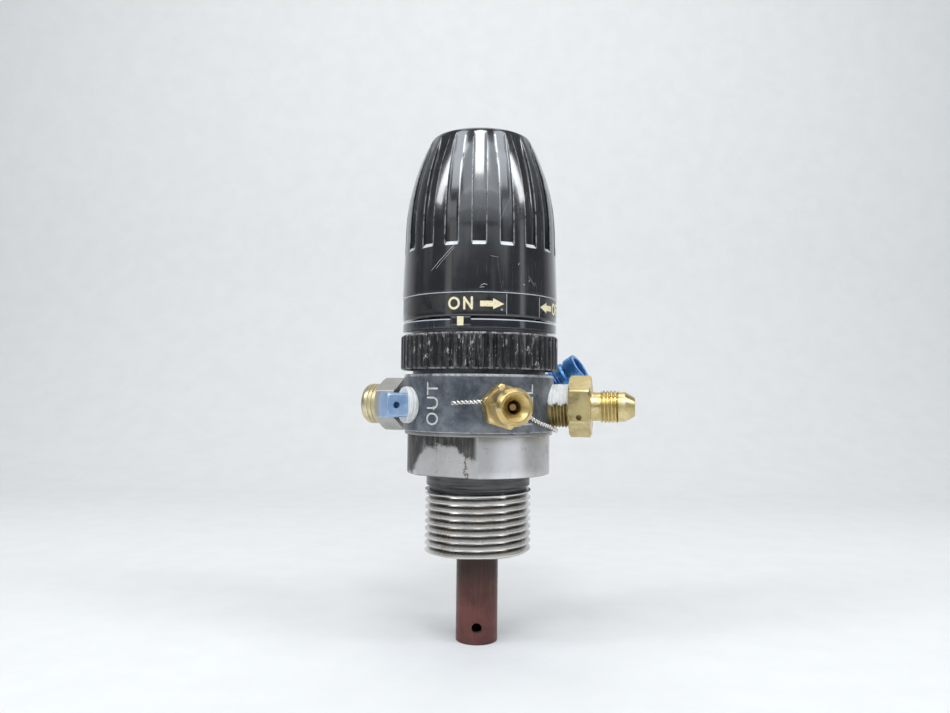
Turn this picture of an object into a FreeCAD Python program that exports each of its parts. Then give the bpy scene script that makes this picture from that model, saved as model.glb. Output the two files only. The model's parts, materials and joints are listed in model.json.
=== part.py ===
"""Cylinder-mounted oxygen regulator with a fluted ON/OFF knob.

Millimetres. The axis is Z, up towards the knob. Z = 0 is the shoulder under the
wrench section, which seats on the cylinder neck. An azimuth is measured from -Y,
the front, towards +X. A port piece is drawn along its own axis, at its distance
from the main axis, and then turned to its azimuth.
"""
import FreeCAD
import Part
import math
import os

Vector = FreeCAD.Vector
UP = Vector(0, 0, 1)

# Clearances
FIT = 0.1              # fixed round fits, on the radius
RUN = 0.3              # running fits, on the radius
SEAT = 0.1             # flat running gaps
CUT = 1.0              # how far a cutter reaches past a face

# Cylinder-end stem
THREAD_RADIUS = 15.875     # 1 1/4 inch cylinder thread
THREAD_LENGTH = 17.75
STEM_CHAMFER = 1.0
UNDERCUT_RADIUS = 14.3
UNDERCUT_HEIGHT = 1.3
NECK_RADIUS = 15.5
NECK_HEIGHT = 3.65
WRENCH_RADIUS = 21.35
WRENCH_HEIGHT = 11.5
WRENCH_ACROSS_FLATS = 37.8
WRENCH_AZIMUTH = -32.0
SPIGOT_RADIUS = 11.5
SPIGOT_HEIGHT = 5.0
SPIGOT_GROOVE_DEPTH = 1.3
SPIGOT_GROOVE_WIDTH = 1.9
EDGE = 0.35                # small broken edges

# Debris tube in the stem's foot
TUBE_RADIUS = 6.2
TUBE_BORE = 4.4
TUBE_LENGTH = 26.5
TUBE_SPIGOT_RADIUS = 4.9
TUBE_SPIGOT_LENGTH = 9.0
TUBE_HOLE_RADIUS = 1.5
TUBE_HOLE_UP = 4.9
INLET_RADIUS = 2.5

# Port body
WASHER_THICKNESS = 1.0
WASHER_INSET = 0.35
BODY_RADIUS = 22.55
BODY_HEIGHT = 16.5
BODY_SPIGOT_RADIUS = 20.0
BODY_SPIGOT_HEIGHT = 6.0
PORT_RISE = 7.55           # port axes above the band's underside
PORT_FLOOR = 15.5          # how near the main axis the port bores reach
DRILL_RADIUS = 1.5
GALLERY_RADIUS = 1.9
GALLERY_DISTANCE = 11.5
VALVE_BORE = 6.0
SEAT_RADIUS = 7.4
SEAT_HEIGHT = 4.0
ORIFICE_RADIUS = 2.4
PISTON_BORE = 15.0
PISTON_CHAMBER = 7.8

# Valve train
POPPET_RADIUS = 4.2
POPPET_HEAD = 3.0
POPPET_GUIDE_RADIUS = 1.7
POPPET_GUIDE_LENGTH = 7.0
POPPET_OPENING = 0.8
FILTER_HEIGHT = 3.2
FILTER_RING_HEIGHT = 1.0
FILTER_RING_BORE = 2.4
VALVE_CHAMBER_FLOOR = 3.0
PISTON_HEAD = 3.8
PISTON_HUB_RADIUS = 7.5
PISTON_HUB_HEIGHT = 3.0
PISTON_HUB_TAPER = 1.0
PUSH_PIN_RADIUS = 1.4
SEAL_GROOVE_WIDTH = 1.8
SEAL_GROOVE_DEPTH = 1.6

# Collar that clamps the bonnet to the port body
COLLAR_RADIUS = 23.65
COLLAR_HEIGHT = 10.15
COLLAR_GAP = 1.35
COLLAR_TEETH = 60
TOOTH_DEPTH = 0.7
TOOTH_LAND = 0.5           # crest's share of the pitch
TOOTH_FLANK = 0.12         # each flank's share
COLLAR_CHAMFER = 0.5

# Bonnet, index ring and stop
BONNET_FLANGE_RADIUS = 18.6
BONNET_FLANGE_HEIGHT = 3.0
BONNET_RADIUS = 17.0
BONNET_BORE = 13.7
BONNET_TOP = 84.0
BONNET_ROOF = 4.0
KEYWAY_WIDTH = 3.2
KEYWAY_DEPTH = 1.4
KEYWAY_LENGTH = 13.0
KEYWAY_DROP = 8.0          # keyway's upper end below the bonnet's roof
RING_SPACER_HEIGHT = 1.0
RING_SPACER_RADIUS = 20.5
RING_INSET = 0.2           # index ring's edge inside the knob's skirt
RING_HEIGHT = 2.6
TAB_AZIMUTH = -13.4
TAB_WIDTH = 6.0
TAB_DEPTH = 2.5
TAB_FOOT = 0.6             # tab's lower edge above the ring's underside
STOP_PIN_RADIUS = 1.25
STOP_PIN_ORBIT = 13.2
STOP_PIN_AZIMUTH = 135.0
STOP_PIN_RISE = 2.6
STOP_PIN_LENGTH = 5.6

# Knob
KNOB_HEAD = 16.3           # knob's top above the bonnet
SKIRT_GAP = 0.75
SKIRT_RADIUS = 23.4
SKIRT_STRAIGHT = 5.45      # straight height before the taper
SHOULDER_INSET = 0.7       # taper's upper end inside the skirt
CROWN_HEIGHT = 30.4        # from the end of the taper to the top
CROWN_ARC_RADIUS = 63.5
CROWN_EDGE = 1.2
BAND_HEIGHT = 6.5          # recessed label band above the skirt's edge
BAND_DEPTH = 0.2
SKIRT_WALL = 2.6
SKIRT_BORE_DEPTH = 17.15
KNOB_BORE = 17.8
FLUTES = 18
FLUTE_AZIMUTH = -1.1
FLUTE_WIDTH = 3.8
FLUTE_DEPTH = 1.0
FLUTE_DROP = 5.0           # flute's lower end below the crown
FLUTE_RUNOUT = 8.0         # height over which a flute fades out at the top
STOP_TRAVEL = 90.0
CAP_RECESS_RADIUS = 8.0
CAP_RECESS_DEPTH = 7.2
CAP_THICKNESS = 2.0
CAP_WALL = 1.0

# Drive spindle, follower and springs
SPINDLE_RADIUS = 5.0
SPINDLE_CHAMFER = 1.0
SPINDLE_SQUARE = 7.0
SPINDLE_SQUARE_LENGTH = 6.5
THRUST_RADIUS = 8.5
THRUST_WASHER = 0.7
THRUST_FLANGE = 3.2
SCREW_STEM = 20.0
KNOB_WASHER = 0.4
KNOB_SCREW_RADIUS = 2.0
KNOB_SCREW_HEAD_RADIUS = 3.8
KNOB_SCREW_HEAD = 2.6
KNOB_SCREW_LENGTH = 10.0
KNOB_SCREW_SOCKET = 3.0
KNOB_SCREW_RUNOUT = 1.0    # tapped hole beyond the screw's tip
FOLLOWER_DROP = 13.0       # follower's top below the bonnet's roof
FOLLOWER_HEIGHT = 5.0
FOLLOWER_HUB_RADIUS = 8.0
FOLLOWER_HUB_DROP = 3.0
MAIN_SPRING_RADIUS = 10.6
MAIN_SPRING_WIRE = 1.15
MAIN_SPRING_TURNS = 6.0
POPPET_SPRING_RADIUS = 3.0
POPPET_SPRING_WIRE = 0.45
POPPET_SPRING_TURNS = 6.0

# Ports: azimuth of each piece
OUTLET_AZIMUTH = 78.0
FILL_AZIMUTH = 15.0
PLUG_AZIMUTH = -63.0
RELIEF_AZIMUTH = -110.0
ELBOW_AZIMUTH = 152.0
TAPE_THICKNESS = 0.3
HEX_FACE = 1.05            # round end face of a hexagon, share of its half width
HEX_BEVEL = 30.0

# Brass flare outlet, distances beyond the band
OUTLET_THREAD_RADIUS = 6.2
OUTLET_TAPE_SHOWN = 4.95
OUTLET_HEX_LENGTH = 6.35
OUTLET_HEX_FLATS = 15.875
OUTLET_NECK_RADIUS = 4.2
OUTLET_NECK_LENGTH = 2.75
OUTLET_FLARE_THREAD = 4.76
OUTLET_FLARE_LENGTH = 4.9
OUTLET_NOSE_RADIUS = 4.35
OUTLET_NOSE_LENGTH = 2.0
OUTLET_CONE_LENGTH = 2.8
OUTLET_TIP_RADIUS = 2.7
OUTLET_BORE = 2.2
WIRE_HOLE_RADIUS = 0.8
WIRE_HOLE_DROP = 3.1       # outlet's wire hole below the port's axis

# Brass fill valve
FILL_THREAD_RADIUS = 4.9
FILL_THREAD_SHOWN = 0.95
FILL_HEX_LENGTH = 4.5
FILL_HEX_FLATS = 11.1
FILL_HEX_TURN = 13.0
FILL_BODY_RADIUS = 5.15
FILL_BODY_LENGTH = 8.8
FILL_TIP_RADIUS = 4.1
FILL_TIP_CHAMFER = 1.6
FILL_MOUTH_RADIUS = 3.6
FILL_MOUTH_DEPTH = 1.9
FILL_BORE = 1.85
FILL_SPRING_BORE = 2.3
FILL_SPRING_ROOM = 6.0
FILL_SPRING_LEDGE = 1.5
FILL_PIN_RADIUS = 0.9
FILL_PIN_SETBACK = 3.0
FILL_PIN_HEAD_RADIUS = 1.9
FILL_PIN_HEAD = 1.6
FILL_SPRING_RADIUS = 1.5
FILL_SPRING_WIRE = 0.3
FILL_SPRING_TURNS = 4.0

# Blue square-head plug on the gauge port
PLUG_THREAD_RADIUS = 4.9
PLUG_TAPE_SHOWN = 1.85
PLUG_FLATS = 7.0
PLUG_HEAD_LENGTH = 6.3
PLUG_CHAMFER = 0.9
PLUG_HOLE_RADIUS = 0.85
PLUG_HOLE_UP = 2.5

# Relief valve at the rear left
RELIEF_THREAD_RADIUS = 4.9
RELIEF_THREAD_SHOWN = 2.2
RELIEF_HEX_LENGTH = 6.7
RELIEF_HEX_FLATS = 14.3
RELIEF_CAP_RADIUS = 6.3
RELIEF_CAP_LENGTH = 6.05
RELIEF_CAP_ROUNDING = 2.0
RELIEF_VENT_RADIUS = 1.2

# Blue elbow with its outlet nipple at the rear right
ELBOW_THREAD_RADIUS = 4.9
ELBOW_TAPE_SHOWN = 3.95
ELBOW_BODY_RADIUS = 5.3
ELBOW_REACH = 12.45        # from the band to the elbow's corner
ELBOW_SWING = 65.0         # azimuth of the elbow's outlet
ELBOW_RISE = 33.5          # outlet's slope above level, degrees
ELBOW_ARM = 7.5
ELBOW_NECK_RADIUS = 4.3
ELBOW_NECK_LENGTH = 1.5
NIPPLE_THREAD_RADIUS = 4.7
NIPPLE_THREAD_LENGTH = 7.6
NIPPLE_DISC_LENGTH = 1.0
NIPPLE_WAIST_LENGTH = 1.6
NIPPLE_COLLAR_LENGTH = 3.8
NIPPLE_RADIUS = 4.9
NIPPLE_WAIST_RADIUS = 4.3
NIPPLE_BORE = 3.5

# Lockwire
WIRE_RADIUS = 0.62
WIRE_HOLE_DEPTH = 1.2
WIRE_LEAD = 2.0            # straight length outside its hole
WIRE_CLEARANCE = 0.35      # between the wire and the band
WIRE_TAIL_STANDOFF = 1.95  # tail's axis outside the band
WIRE_TAIL_AZIMUTH = -17.8
WIRE_TAIL_BEND_AZIMUTH = -6.0
WIRE_TAIL_RISE = 0.85      # above the port axes
WIRE_LEFT_RISE = 1.25
WIRE_RIGHT_RISE = -1.85
WIRE_BENDS = ((33.0, -2.25), (46.0, -4.85), (60.0, -5.85), (71.5, -6.9))
WIRE_BEND_SHARE = 0.45     # of the shorter length beside a bend
WIRE_END_AZIMUTH = 76.0
WIRE_END_RISE = -7.35

# Levels worked out from the sizes above
THREAD_TOP = -(NECK_HEIGHT + UNDERCUT_HEIGHT)
STEM_FOOT = THREAD_TOP - THREAD_LENGTH - EDGE
WASHER_TOP = WRENCH_HEIGHT + WASHER_THICKNESS
SPIGOT_TOP = WRENCH_HEIGHT + SPIGOT_HEIGHT
BODY_TOP = WASHER_TOP + BODY_HEIGHT
BODY_SPIGOT_TOP = BODY_TOP + BODY_SPIGOT_HEIGHT
PORT_Z = WASHER_TOP + PORT_RISE
CHAMBER_FLOOR = BODY_SPIGOT_TOP - PISTON_CHAMBER
SEAT_FACE = CHAMBER_FLOOR - SEAT_HEIGHT
POPPET_TOP = SEAT_FACE - POPPET_OPENING
FILTER_TOP = VALVE_CHAMBER_FLOOR + FILTER_HEIGHT
SPRING_LEDGE = FILTER_TOP + FILTER_RING_HEIGHT
PISTON_TOP = BODY_SPIGOT_TOP - POPPET_OPENING - 2 * SEAT
PISTON_FOOT = PISTON_TOP - PISTON_HEAD
COLLAR_FOOT = BODY_TOP + COLLAR_GAP
COLLAR_TOP = COLLAR_FOOT + COLLAR_HEIGHT
FLANGE_TOP = BODY_SPIGOT_TOP + BONNET_FLANGE_HEIGHT
RING_RADIUS = SKIRT_RADIUS - RING_INSET
SHOULDER_RADIUS = SKIRT_RADIUS - SHOULDER_INSET
SKIRT_BORE = SKIRT_RADIUS - SKIRT_WALL
RING_FOOT = COLLAR_TOP + RING_SPACER_HEIGHT
RING_TOP = RING_FOOT + RING_HEIGHT
SKIRT_FOOT = RING_TOP + SKIRT_GAP
BAND_TOP = SKIRT_FOOT + BAND_HEIGHT
ROOF_FOOT = BONNET_TOP - BONNET_ROOF
THRUST_TOP = ROOF_FOOT - THRUST_WASHER
THRUST_FOOT = THRUST_TOP - SEAT - THRUST_FLANGE
KNOB_TOP = BONNET_TOP + KNOB_HEAD
SHOULDER_HEIGHT = KNOB_TOP - CROWN_HEIGHT
FLUTE_LOW = SHOULDER_HEIGHT - FLUTE_DROP
SKIRT_TAPER_LOW = SKIRT_FOOT + SKIRT_STRAIGHT
SKIRT_BORE_TOP = SKIRT_FOOT + SKIRT_BORE_DEPTH
FOLLOWER_TOP = ROOF_FOOT - FOLLOWER_DROP
KNOB_WEB = BONNET_TOP + KNOB_WASHER + SEAT
SQUARE_TOP = KNOB_WEB + SPINDLE_SQUARE_LENGTH
CAP_RECESS_FLOOR = KNOB_TOP - CAP_RECESS_DEPTH
PORT_AXIS = Vector(0, 0, PORT_Z)
THREAD_END = PORT_FLOOR + 2 * SEAT    # where a threaded end stops in its port

# Distances from the main axis along the ports
OUTLET_HEX_START = BODY_RADIUS + OUTLET_TAPE_SHOWN
OUTLET_HEX_END = OUTLET_HEX_START + OUTLET_HEX_LENGTH
OUTLET_FLARE_START = OUTLET_HEX_END + OUTLET_NECK_LENGTH
OUTLET_FLARE_END = OUTLET_FLARE_START + OUTLET_FLARE_LENGTH
OUTLET_NOSE_END = OUTLET_FLARE_END + OUTLET_NOSE_LENGTH
OUTLET_TIP = OUTLET_NOSE_END + OUTLET_CONE_LENGTH
FILL_HEX_START = BODY_RADIUS + FILL_THREAD_SHOWN
FILL_HEX_END = FILL_HEX_START + FILL_HEX_LENGTH
FILL_TIP = FILL_HEX_END + FILL_BODY_LENGTH
FILL_SPRING_FLOOR = PORT_FLOOR + FILL_SPRING_LEDGE
FILL_SEAT = FILL_SPRING_FLOOR + FILL_SPRING_ROOM
PLUG_TAPE_END = BODY_RADIUS + PLUG_TAPE_SHOWN
PLUG_HEAD_END = PLUG_TAPE_END + PLUG_HEAD_LENGTH
RELIEF_HEX_START = BODY_RADIUS + RELIEF_THREAD_SHOWN
RELIEF_HEX_END = RELIEF_HEX_START + RELIEF_HEX_LENGTH
RELIEF_CAP_END = RELIEF_HEX_END + RELIEF_CAP_LENGTH
ELBOW_SHOULDER = BODY_RADIUS + ELBOW_TAPE_SHOWN
ELBOW_CORNER = BODY_RADIUS + ELBOW_REACH

# Distances along the elbow's outlet
NIPPLE_START = ELBOW_ARM + ELBOW_NECK_LENGTH
NIPPLE_THREAD_END = NIPPLE_START + NIPPLE_THREAD_LENGTH
NIPPLE_DISC_END = NIPPLE_THREAD_END + NIPPLE_DISC_LENGTH
NIPPLE_COLLAR_START = NIPPLE_DISC_END + NIPPLE_WAIST_LENGTH
NIPPLE_END = NIPPLE_COLLAR_START + NIPPLE_COLLAR_LENGTH


def direction(azimuth):
    """Unit vector that points out at an azimuth."""
    angle = math.radians(azimuth)
    return Vector(math.sin(angle), -math.cos(angle), 0)


def polar(azimuth, distance, z):
    """Point at an azimuth, a distance from the main axis and a height."""
    return direction(azimuth) * distance + Vector(0, 0, z)


def port_frame(azimuth, origin=PORT_AXIS, rise=0.0, swing=None):
    """Placement whose local Z points out at an azimuth and local Y points up."""
    out = direction(azimuth)
    if swing is not None:
        side = direction(swing)
        out = side * math.cos(math.radians(rise)) + UP * math.sin(math.radians(rise))
    across = UP.cross(out).normalize()
    up = out.cross(across).normalize()
    turn = FreeCAD.Rotation(across, up, out, "ZXY")
    return FreeCAD.Placement(origin, turn)


def revolve(points, sweep=360):
    """Solid turned about Z from (radius, height) points, starting at +X."""
    corners = [Vector(r, 0, z) for r, z in points]
    wire = Part.makePolygon(corners + corners[:1])
    return Part.Face(wire).revolve(Vector(0, 0, 0), UP, sweep)


def rod(radius, low, high):
    """Solid cylinder on Z between two levels."""
    return Part.makeCylinder(radius, high - low, Vector(0, 0, low))


def ring(radius, bore, low, high):
    """Plain washer on Z."""
    return rod(radius, low, high).cut(rod(bore, low, high))


def prism(sides, across_flats, low, high, turn=0.0):
    """Prism on Z with a corner on +Y, turned by an angle."""
    corner = across_flats / 2 / math.cos(math.pi / sides)
    points = []
    for i in range(sides):
        angle = math.radians(90 + turn + 360 * i / sides)
        points.append(Vector(corner * math.cos(angle), corner * math.sin(angle), low))
    face = Part.Face(Part.makePolygon(points + points[:1]))
    return face.extrude(Vector(0, 0, high - low))


def nut_blank(across_flats, low, high, turn=0.0):
    """Hexagon with its corners bevelled at both ends."""
    inner = across_flats / 2 * HEX_FACE
    corner = across_flats / 2 / math.cos(math.pi / 6) + EDGE
    slope = (corner - inner) * math.tan(math.radians(HEX_BEVEL))
    cone = revolve([(0, low), (inner, low), (corner, low + slope),
                    (corner, high - slope), (inner, high), (0, high)])
    return prism(6, across_flats, low, high, turn).common(cone)


def helix_spring(radius, wire, low, high, turns, square=False):
    """Coil spring, of round or square wire, between two levels that it just clears."""
    height = high - low - 2 * (wire + SEAT)
    helix = Part.makeHelix(height / turns, height, radius)
    helix.translate(Vector(0, 0, low + wire + SEAT))
    start = Vector(radius, 0, low + wire + SEAT)
    if square:
        corners = [start + Vector(wire * x, 0, wire * z)
                   for x, z in ((-1, -1), (1, -1), (1, 1), (-1, 1), (-1, -1))]
        section = Part.makePolygon(corners)
    else:
        section = Part.Wire(Part.makeCircle(wire, start, Vector(0, 1, 0)))
    return Part.Wire(helix.Edges).makePipeShell([section], True, True)


def place(shape, placement):
    """Copy of a shape that was drawn at the origin, moved to its place."""
    moved = shape.copy()
    moved.Placement = placement
    return moved


def port_bore(azimuth, radius):
    """Round bore for a port thread, from outside the band to its floor."""
    return place(rod(radius, PORT_FLOOR, BODY_RADIUS + CUT), port_frame(azimuth))


def tape_radius(thread):
    return thread + TAPE_THICKNESS


def tape_collar(thread, end, azimuth):
    """Sealing tape that shows between the band and a fitting."""
    start = (PORT_FLOOR + BODY_RADIUS) / 2
    collar = ring(tape_radius(thread), thread, start, end)
    return place(collar, port_frame(azimuth))


def cylinder_stem():
    foot = STEM_FOOT
    body = revolve([
        (0, foot),
        (THREAD_RADIUS - STEM_CHAMFER, foot),
        (THREAD_RADIUS, foot + STEM_CHAMFER),
        (THREAD_RADIUS, THREAD_TOP),
        (UNDERCUT_RADIUS, THREAD_TOP),
        (UNDERCUT_RADIUS, -NECK_HEIGHT),
        (NECK_RADIUS, -NECK_HEIGHT),
        (NECK_RADIUS, 0),
        (WRENCH_RADIUS - EDGE, 0),
        (WRENCH_RADIUS, EDGE),
        (WRENCH_RADIUS, WRENCH_HEIGHT - EDGE),
        (WRENCH_RADIUS - EDGE, WRENCH_HEIGHT),
        (SPIGOT_RADIUS, WRENCH_HEIGHT),
        (SPIGOT_RADIUS, SPIGOT_TOP),
        (0, SPIGOT_TOP)])
    for azimuth in (WRENCH_AZIMUTH, WRENCH_AZIMUTH + 180):
        reach = WRENCH_RADIUS - WRENCH_ACROSS_FLATS / 2 + CUT
        cutter = Part.makeBox(2 * WRENCH_RADIUS, WRENCH_HEIGHT, reach,
                              Vector(-WRENCH_RADIUS, 0, WRENCH_ACROSS_FLATS / 2))
        body = body.cut(place(cutter, port_frame(azimuth, Vector(0, 0, 0))))
    groove_low = (WRENCH_HEIGHT + SPIGOT_TOP - SPIGOT_GROOVE_WIDTH) / 2
    groove = ring(SPIGOT_RADIUS + CUT, SPIGOT_RADIUS - SPIGOT_GROOVE_DEPTH,
                  groove_low, groove_low + SPIGOT_GROOVE_WIDTH)
    socket = rod(TUBE_SPIGOT_RADIUS + FIT, foot, foot + TUBE_SPIGOT_LENGTH + 2 * SEAT)
    inlet = rod(INLET_RADIUS, foot, VALVE_CHAMBER_FLOOR)
    chamber = rod(VALVE_BORE, VALVE_CHAMBER_FLOOR, SPIGOT_TOP)
    return body.cut([groove, socket, inlet, chamber])


def debris_tube():
    foot = STEM_FOOT - TUBE_LENGTH
    spigot_top = STEM_FOOT + TUBE_SPIGOT_LENGTH
    wall = TUBE_RADIUS - TUBE_BORE
    body = revolve([
        (INLET_RADIUS, spigot_top),
        (INLET_RADIUS, STEM_FOOT - wall),
        (TUBE_BORE, STEM_FOOT - 2 * wall),
        (TUBE_BORE, foot),
        (TUBE_RADIUS - EDGE, foot),
        (TUBE_RADIUS, foot + EDGE),
        (TUBE_RADIUS, STEM_FOOT),
        (TUBE_SPIGOT_RADIUS, STEM_FOOT),
        (TUBE_SPIGOT_RADIUS, spigot_top)])
    hole = Part.makeCylinder(TUBE_HOLE_RADIUS, 2 * (TUBE_RADIUS + CUT),
                             Vector(0, -TUBE_RADIUS - CUT, foot + TUBE_HOLE_UP),
                             Vector(0, 1, 0))
    return body.cut(hole)


def spacer_washer():
    return ring(BODY_RADIUS - WASHER_INSET, SPIGOT_RADIUS + FIT, WRENCH_HEIGHT, WASHER_TOP)


def body_seal():
    middle = (WRENCH_HEIGHT + SPIGOT_TOP) / 2
    half_depth = SPIGOT_GROOVE_DEPTH / 2
    return Part.makeTorus(SPIGOT_RADIUS - half_depth, half_depth - FIT / 2, Vector(0, 0, middle))


def port_body():
    body = revolve([
        (0, WASHER_TOP),
        (BODY_RADIUS - EDGE, WASHER_TOP),
        (BODY_RADIUS, WASHER_TOP + EDGE),
        (BODY_RADIUS, BODY_TOP - EDGE),
        (BODY_RADIUS - EDGE, BODY_TOP),
        (BODY_SPIGOT_RADIUS, BODY_TOP),
        (BODY_SPIGOT_RADIUS, BODY_SPIGOT_TOP),
        (0, BODY_SPIGOT_TOP)])
    cavities = [
        rod(SPIGOT_RADIUS + FIT, WASHER_TOP, SPIGOT_TOP + 2 * SEAT),
        rod(VALVE_BORE, SPIGOT_TOP, SEAT_FACE),
        rod(SEAT_RADIUS + FIT, SEAT_FACE, CHAMBER_FLOOR),
        rod(PISTON_BORE, CHAMBER_FLOOR, BODY_SPIGOT_TOP)]
    cavities.append(port_bore(OUTLET_AZIMUTH, tape_radius(OUTLET_THREAD_RADIUS) + FIT))
    cavities.append(port_bore(ELBOW_AZIMUTH, tape_radius(ELBOW_THREAD_RADIUS) + FIT))
    cavities.append(port_bore(PLUG_AZIMUTH, tape_radius(PLUG_THREAD_RADIUS) + FIT))
    cavities.append(port_bore(FILL_AZIMUTH, FILL_THREAD_RADIUS + FIT))
    cavities.append(port_bore(RELIEF_AZIMUTH, RELIEF_THREAD_RADIUS + FIT))
    for azimuth in (FILL_AZIMUTH, PLUG_AZIMUTH, RELIEF_AZIMUTH):
        drill = rod(DRILL_RADIUS, 0, PORT_FLOOR + CUT)
        cavities.append(place(drill, port_frame(azimuth)))
    for azimuth in (OUTLET_AZIMUTH, ELBOW_AZIMUTH):
        drill = rod(DRILL_RADIUS, GALLERY_DISTANCE, PORT_FLOOR + CUT)
        cavities.append(place(drill, port_frame(azimuth)))
        riser = rod(GALLERY_RADIUS, PORT_Z - DRILL_RADIUS - FIT, CHAMBER_FLOOR)
        riser.translate(polar(azimuth, GALLERY_DISTANCE, 0))
        cavities.append(riser)
    return body.cut(cavities)


def seat_insert():
    return ring(SEAT_RADIUS, ORIFICE_RADIUS, SEAT_FACE, CHAMBER_FLOOR)


def inlet_filter():
    return rod(VALVE_BORE - FIT, VALVE_CHAMBER_FLOOR, FILTER_TOP)


def filter_ring():
    return ring(VALVE_BORE - FIT, FILTER_RING_BORE, FILTER_TOP, SPRING_LEDGE)


def poppet():
    head = rod(POPPET_RADIUS, POPPET_TOP - POPPET_HEAD, POPPET_TOP)
    head = head.makeChamfer(EDGE, [head.Edges[0]])
    neck = POPPET_TOP - POPPET_HEAD
    return head.fuse(rod(POPPET_GUIDE_RADIUS, neck - POPPET_GUIDE_LENGTH, neck)).removeSplitter()


def poppet_spring():
    return helix_spring(POPPET_SPRING_RADIUS, POPPET_SPRING_WIRE, SPRING_LEDGE,
                        POPPET_TOP - POPPET_HEAD, POPPET_SPRING_TURNS)


def regulating_piston():
    middle = (PISTON_FOOT + PISTON_TOP) / 2
    low = middle - SEAL_GROOVE_WIDTH / 2
    high = middle + SEAL_GROOVE_WIDTH / 2
    radius = PISTON_BORE - RUN
    groove = radius - SEAL_GROOVE_DEPTH
    return revolve([
        (0, POPPET_TOP),
        (PUSH_PIN_RADIUS, POPPET_TOP),
        (PUSH_PIN_RADIUS, PISTON_FOOT),
        (radius, PISTON_FOOT),
        (radius, low),
        (groove, low),
        (groove, high),
        (radius, high),
        (radius, PISTON_TOP),
        (PISTON_HUB_RADIUS, PISTON_TOP),
        (PISTON_HUB_RADIUS - PISTON_HUB_TAPER, PISTON_TOP + PISTON_HUB_HEIGHT),
        (0, PISTON_TOP + PISTON_HUB_HEIGHT)])


def piston_seal():
    middle = (PISTON_FOOT + PISTON_TOP) / 2
    half = SEAL_GROOVE_WIDTH / 2 - SEAT
    groove = PISTON_BORE - RUN - SEAL_GROOVE_DEPTH
    return ring(PISTON_BORE - FIT, groove, middle - half, middle + half)


def clamp_collar():
    """Knurled nut: a toothed outline, drawn once and extruded."""
    pitch = 2 * math.pi / COLLAR_TEETH
    root = COLLAR_RADIUS - TOOTH_DEPTH
    shares = ((0, COLLAR_RADIUS), (TOOTH_LAND, COLLAR_RADIUS),
              (TOOTH_LAND + TOOTH_FLANK, root), (1 - TOOTH_FLANK, root))
    points = []
    for i in range(COLLAR_TEETH):
        for share, radius in shares:
            angle = (i + share) * pitch
            points.append(Vector(radius * math.cos(angle), radius * math.sin(angle), COLLAR_FOOT))
    blank = Part.Face(Part.makePolygon(points + points[:1])).extrude(UP * COLLAR_HEIGHT)
    envelope = revolve([
        (0, COLLAR_FOOT),
        (COLLAR_RADIUS - COLLAR_CHAMFER, COLLAR_FOOT),
        (COLLAR_RADIUS, COLLAR_FOOT + COLLAR_CHAMFER),
        (COLLAR_RADIUS, COLLAR_TOP - COLLAR_CHAMFER),
        (COLLAR_RADIUS - COLLAR_CHAMFER, COLLAR_TOP),
        (0, COLLAR_TOP)])
    bore = rod(BODY_SPIGOT_RADIUS + FIT, COLLAR_FOOT, FLANGE_TOP)
    lip = rod(BONNET_RADIUS + FIT, COLLAR_FOOT, COLLAR_TOP)
    return blank.common(envelope).cut([bore, lip])


def bonnet():
    body = revolve([
        (BONNET_BORE, BODY_SPIGOT_TOP),
        (BONNET_FLANGE_RADIUS, BODY_SPIGOT_TOP),
        (BONNET_FLANGE_RADIUS, FLANGE_TOP),
        (BONNET_RADIUS, FLANGE_TOP),
        (BONNET_RADIUS, BONNET_TOP - EDGE),
        (BONNET_RADIUS - EDGE, BONNET_TOP),
        (SPINDLE_RADIUS + RUN, BONNET_TOP),
        (SPINDLE_RADIUS + RUN, ROOF_FOOT),
        (BONNET_BORE, ROOF_FOOT)])
    keyway_low = ROOF_FOOT - KEYWAY_DROP - KEYWAY_LENGTH
    slot = Part.makeBox(BONNET_BORE + KEYWAY_DEPTH, KEYWAY_WIDTH, KEYWAY_LENGTH,
                        Vector(0, -KEYWAY_WIDTH / 2, keyway_low))
    pin_hole = rod(STOP_PIN_RADIUS, BONNET_TOP - STOP_PIN_LENGTH + STOP_PIN_RISE, BONNET_TOP)
    pin_hole.translate(polar(STOP_PIN_AZIMUTH, STOP_PIN_ORBIT, 0))
    return body.cut([slot, pin_hole])


def stop_pin():
    high = BONNET_TOP + STOP_PIN_RISE
    pin = rod(STOP_PIN_RADIUS, high - STOP_PIN_LENGTH, high)
    pin.translate(polar(STOP_PIN_AZIMUTH, STOP_PIN_ORBIT, 0))
    return pin


def ring_spacer():
    return ring(RING_SPACER_RADIUS, BONNET_RADIUS + FIT, COLLAR_TOP, RING_FOOT)


def index_ring():
    """Ring with the raised tab that carries the index mark."""
    body = revolve([
        (BONNET_RADIUS + FIT, RING_FOOT),
        (RING_RADIUS - EDGE, RING_FOOT),
        (RING_RADIUS, RING_FOOT + EDGE),
        (RING_RADIUS, RING_TOP - EDGE),
        (RING_RADIUS - EDGE, RING_TOP),
        (BONNET_RADIUS + FIT, RING_TOP)])
    low = RING_FOOT + TAB_FOOT
    high = SKIRT_FOOT - SEAT
    band = ring(SKIRT_RADIUS, SKIRT_RADIUS - TAB_DEPTH, low, high)
    window = Part.makeBox(TAB_WIDTH, high - low, SKIRT_RADIUS,
                          Vector(-TAB_WIDTH / 2, low, SKIRT_RADIUS / 2))
    tab = band.common(place(window, port_frame(TAB_AZIMUTH, Vector(0, 0, 0))))
    return body.fuse(tab).removeSplitter()


def crown_radius(z, inset=0.0):
    """Knob radius at a height on its crown arc."""
    rise = z - SHOULDER_HEIGHT
    reach = CROWN_ARC_RADIUS - inset
    return SHOULDER_RADIUS - CROWN_ARC_RADIUS + math.sqrt(reach ** 2 - rise ** 2)


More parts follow.
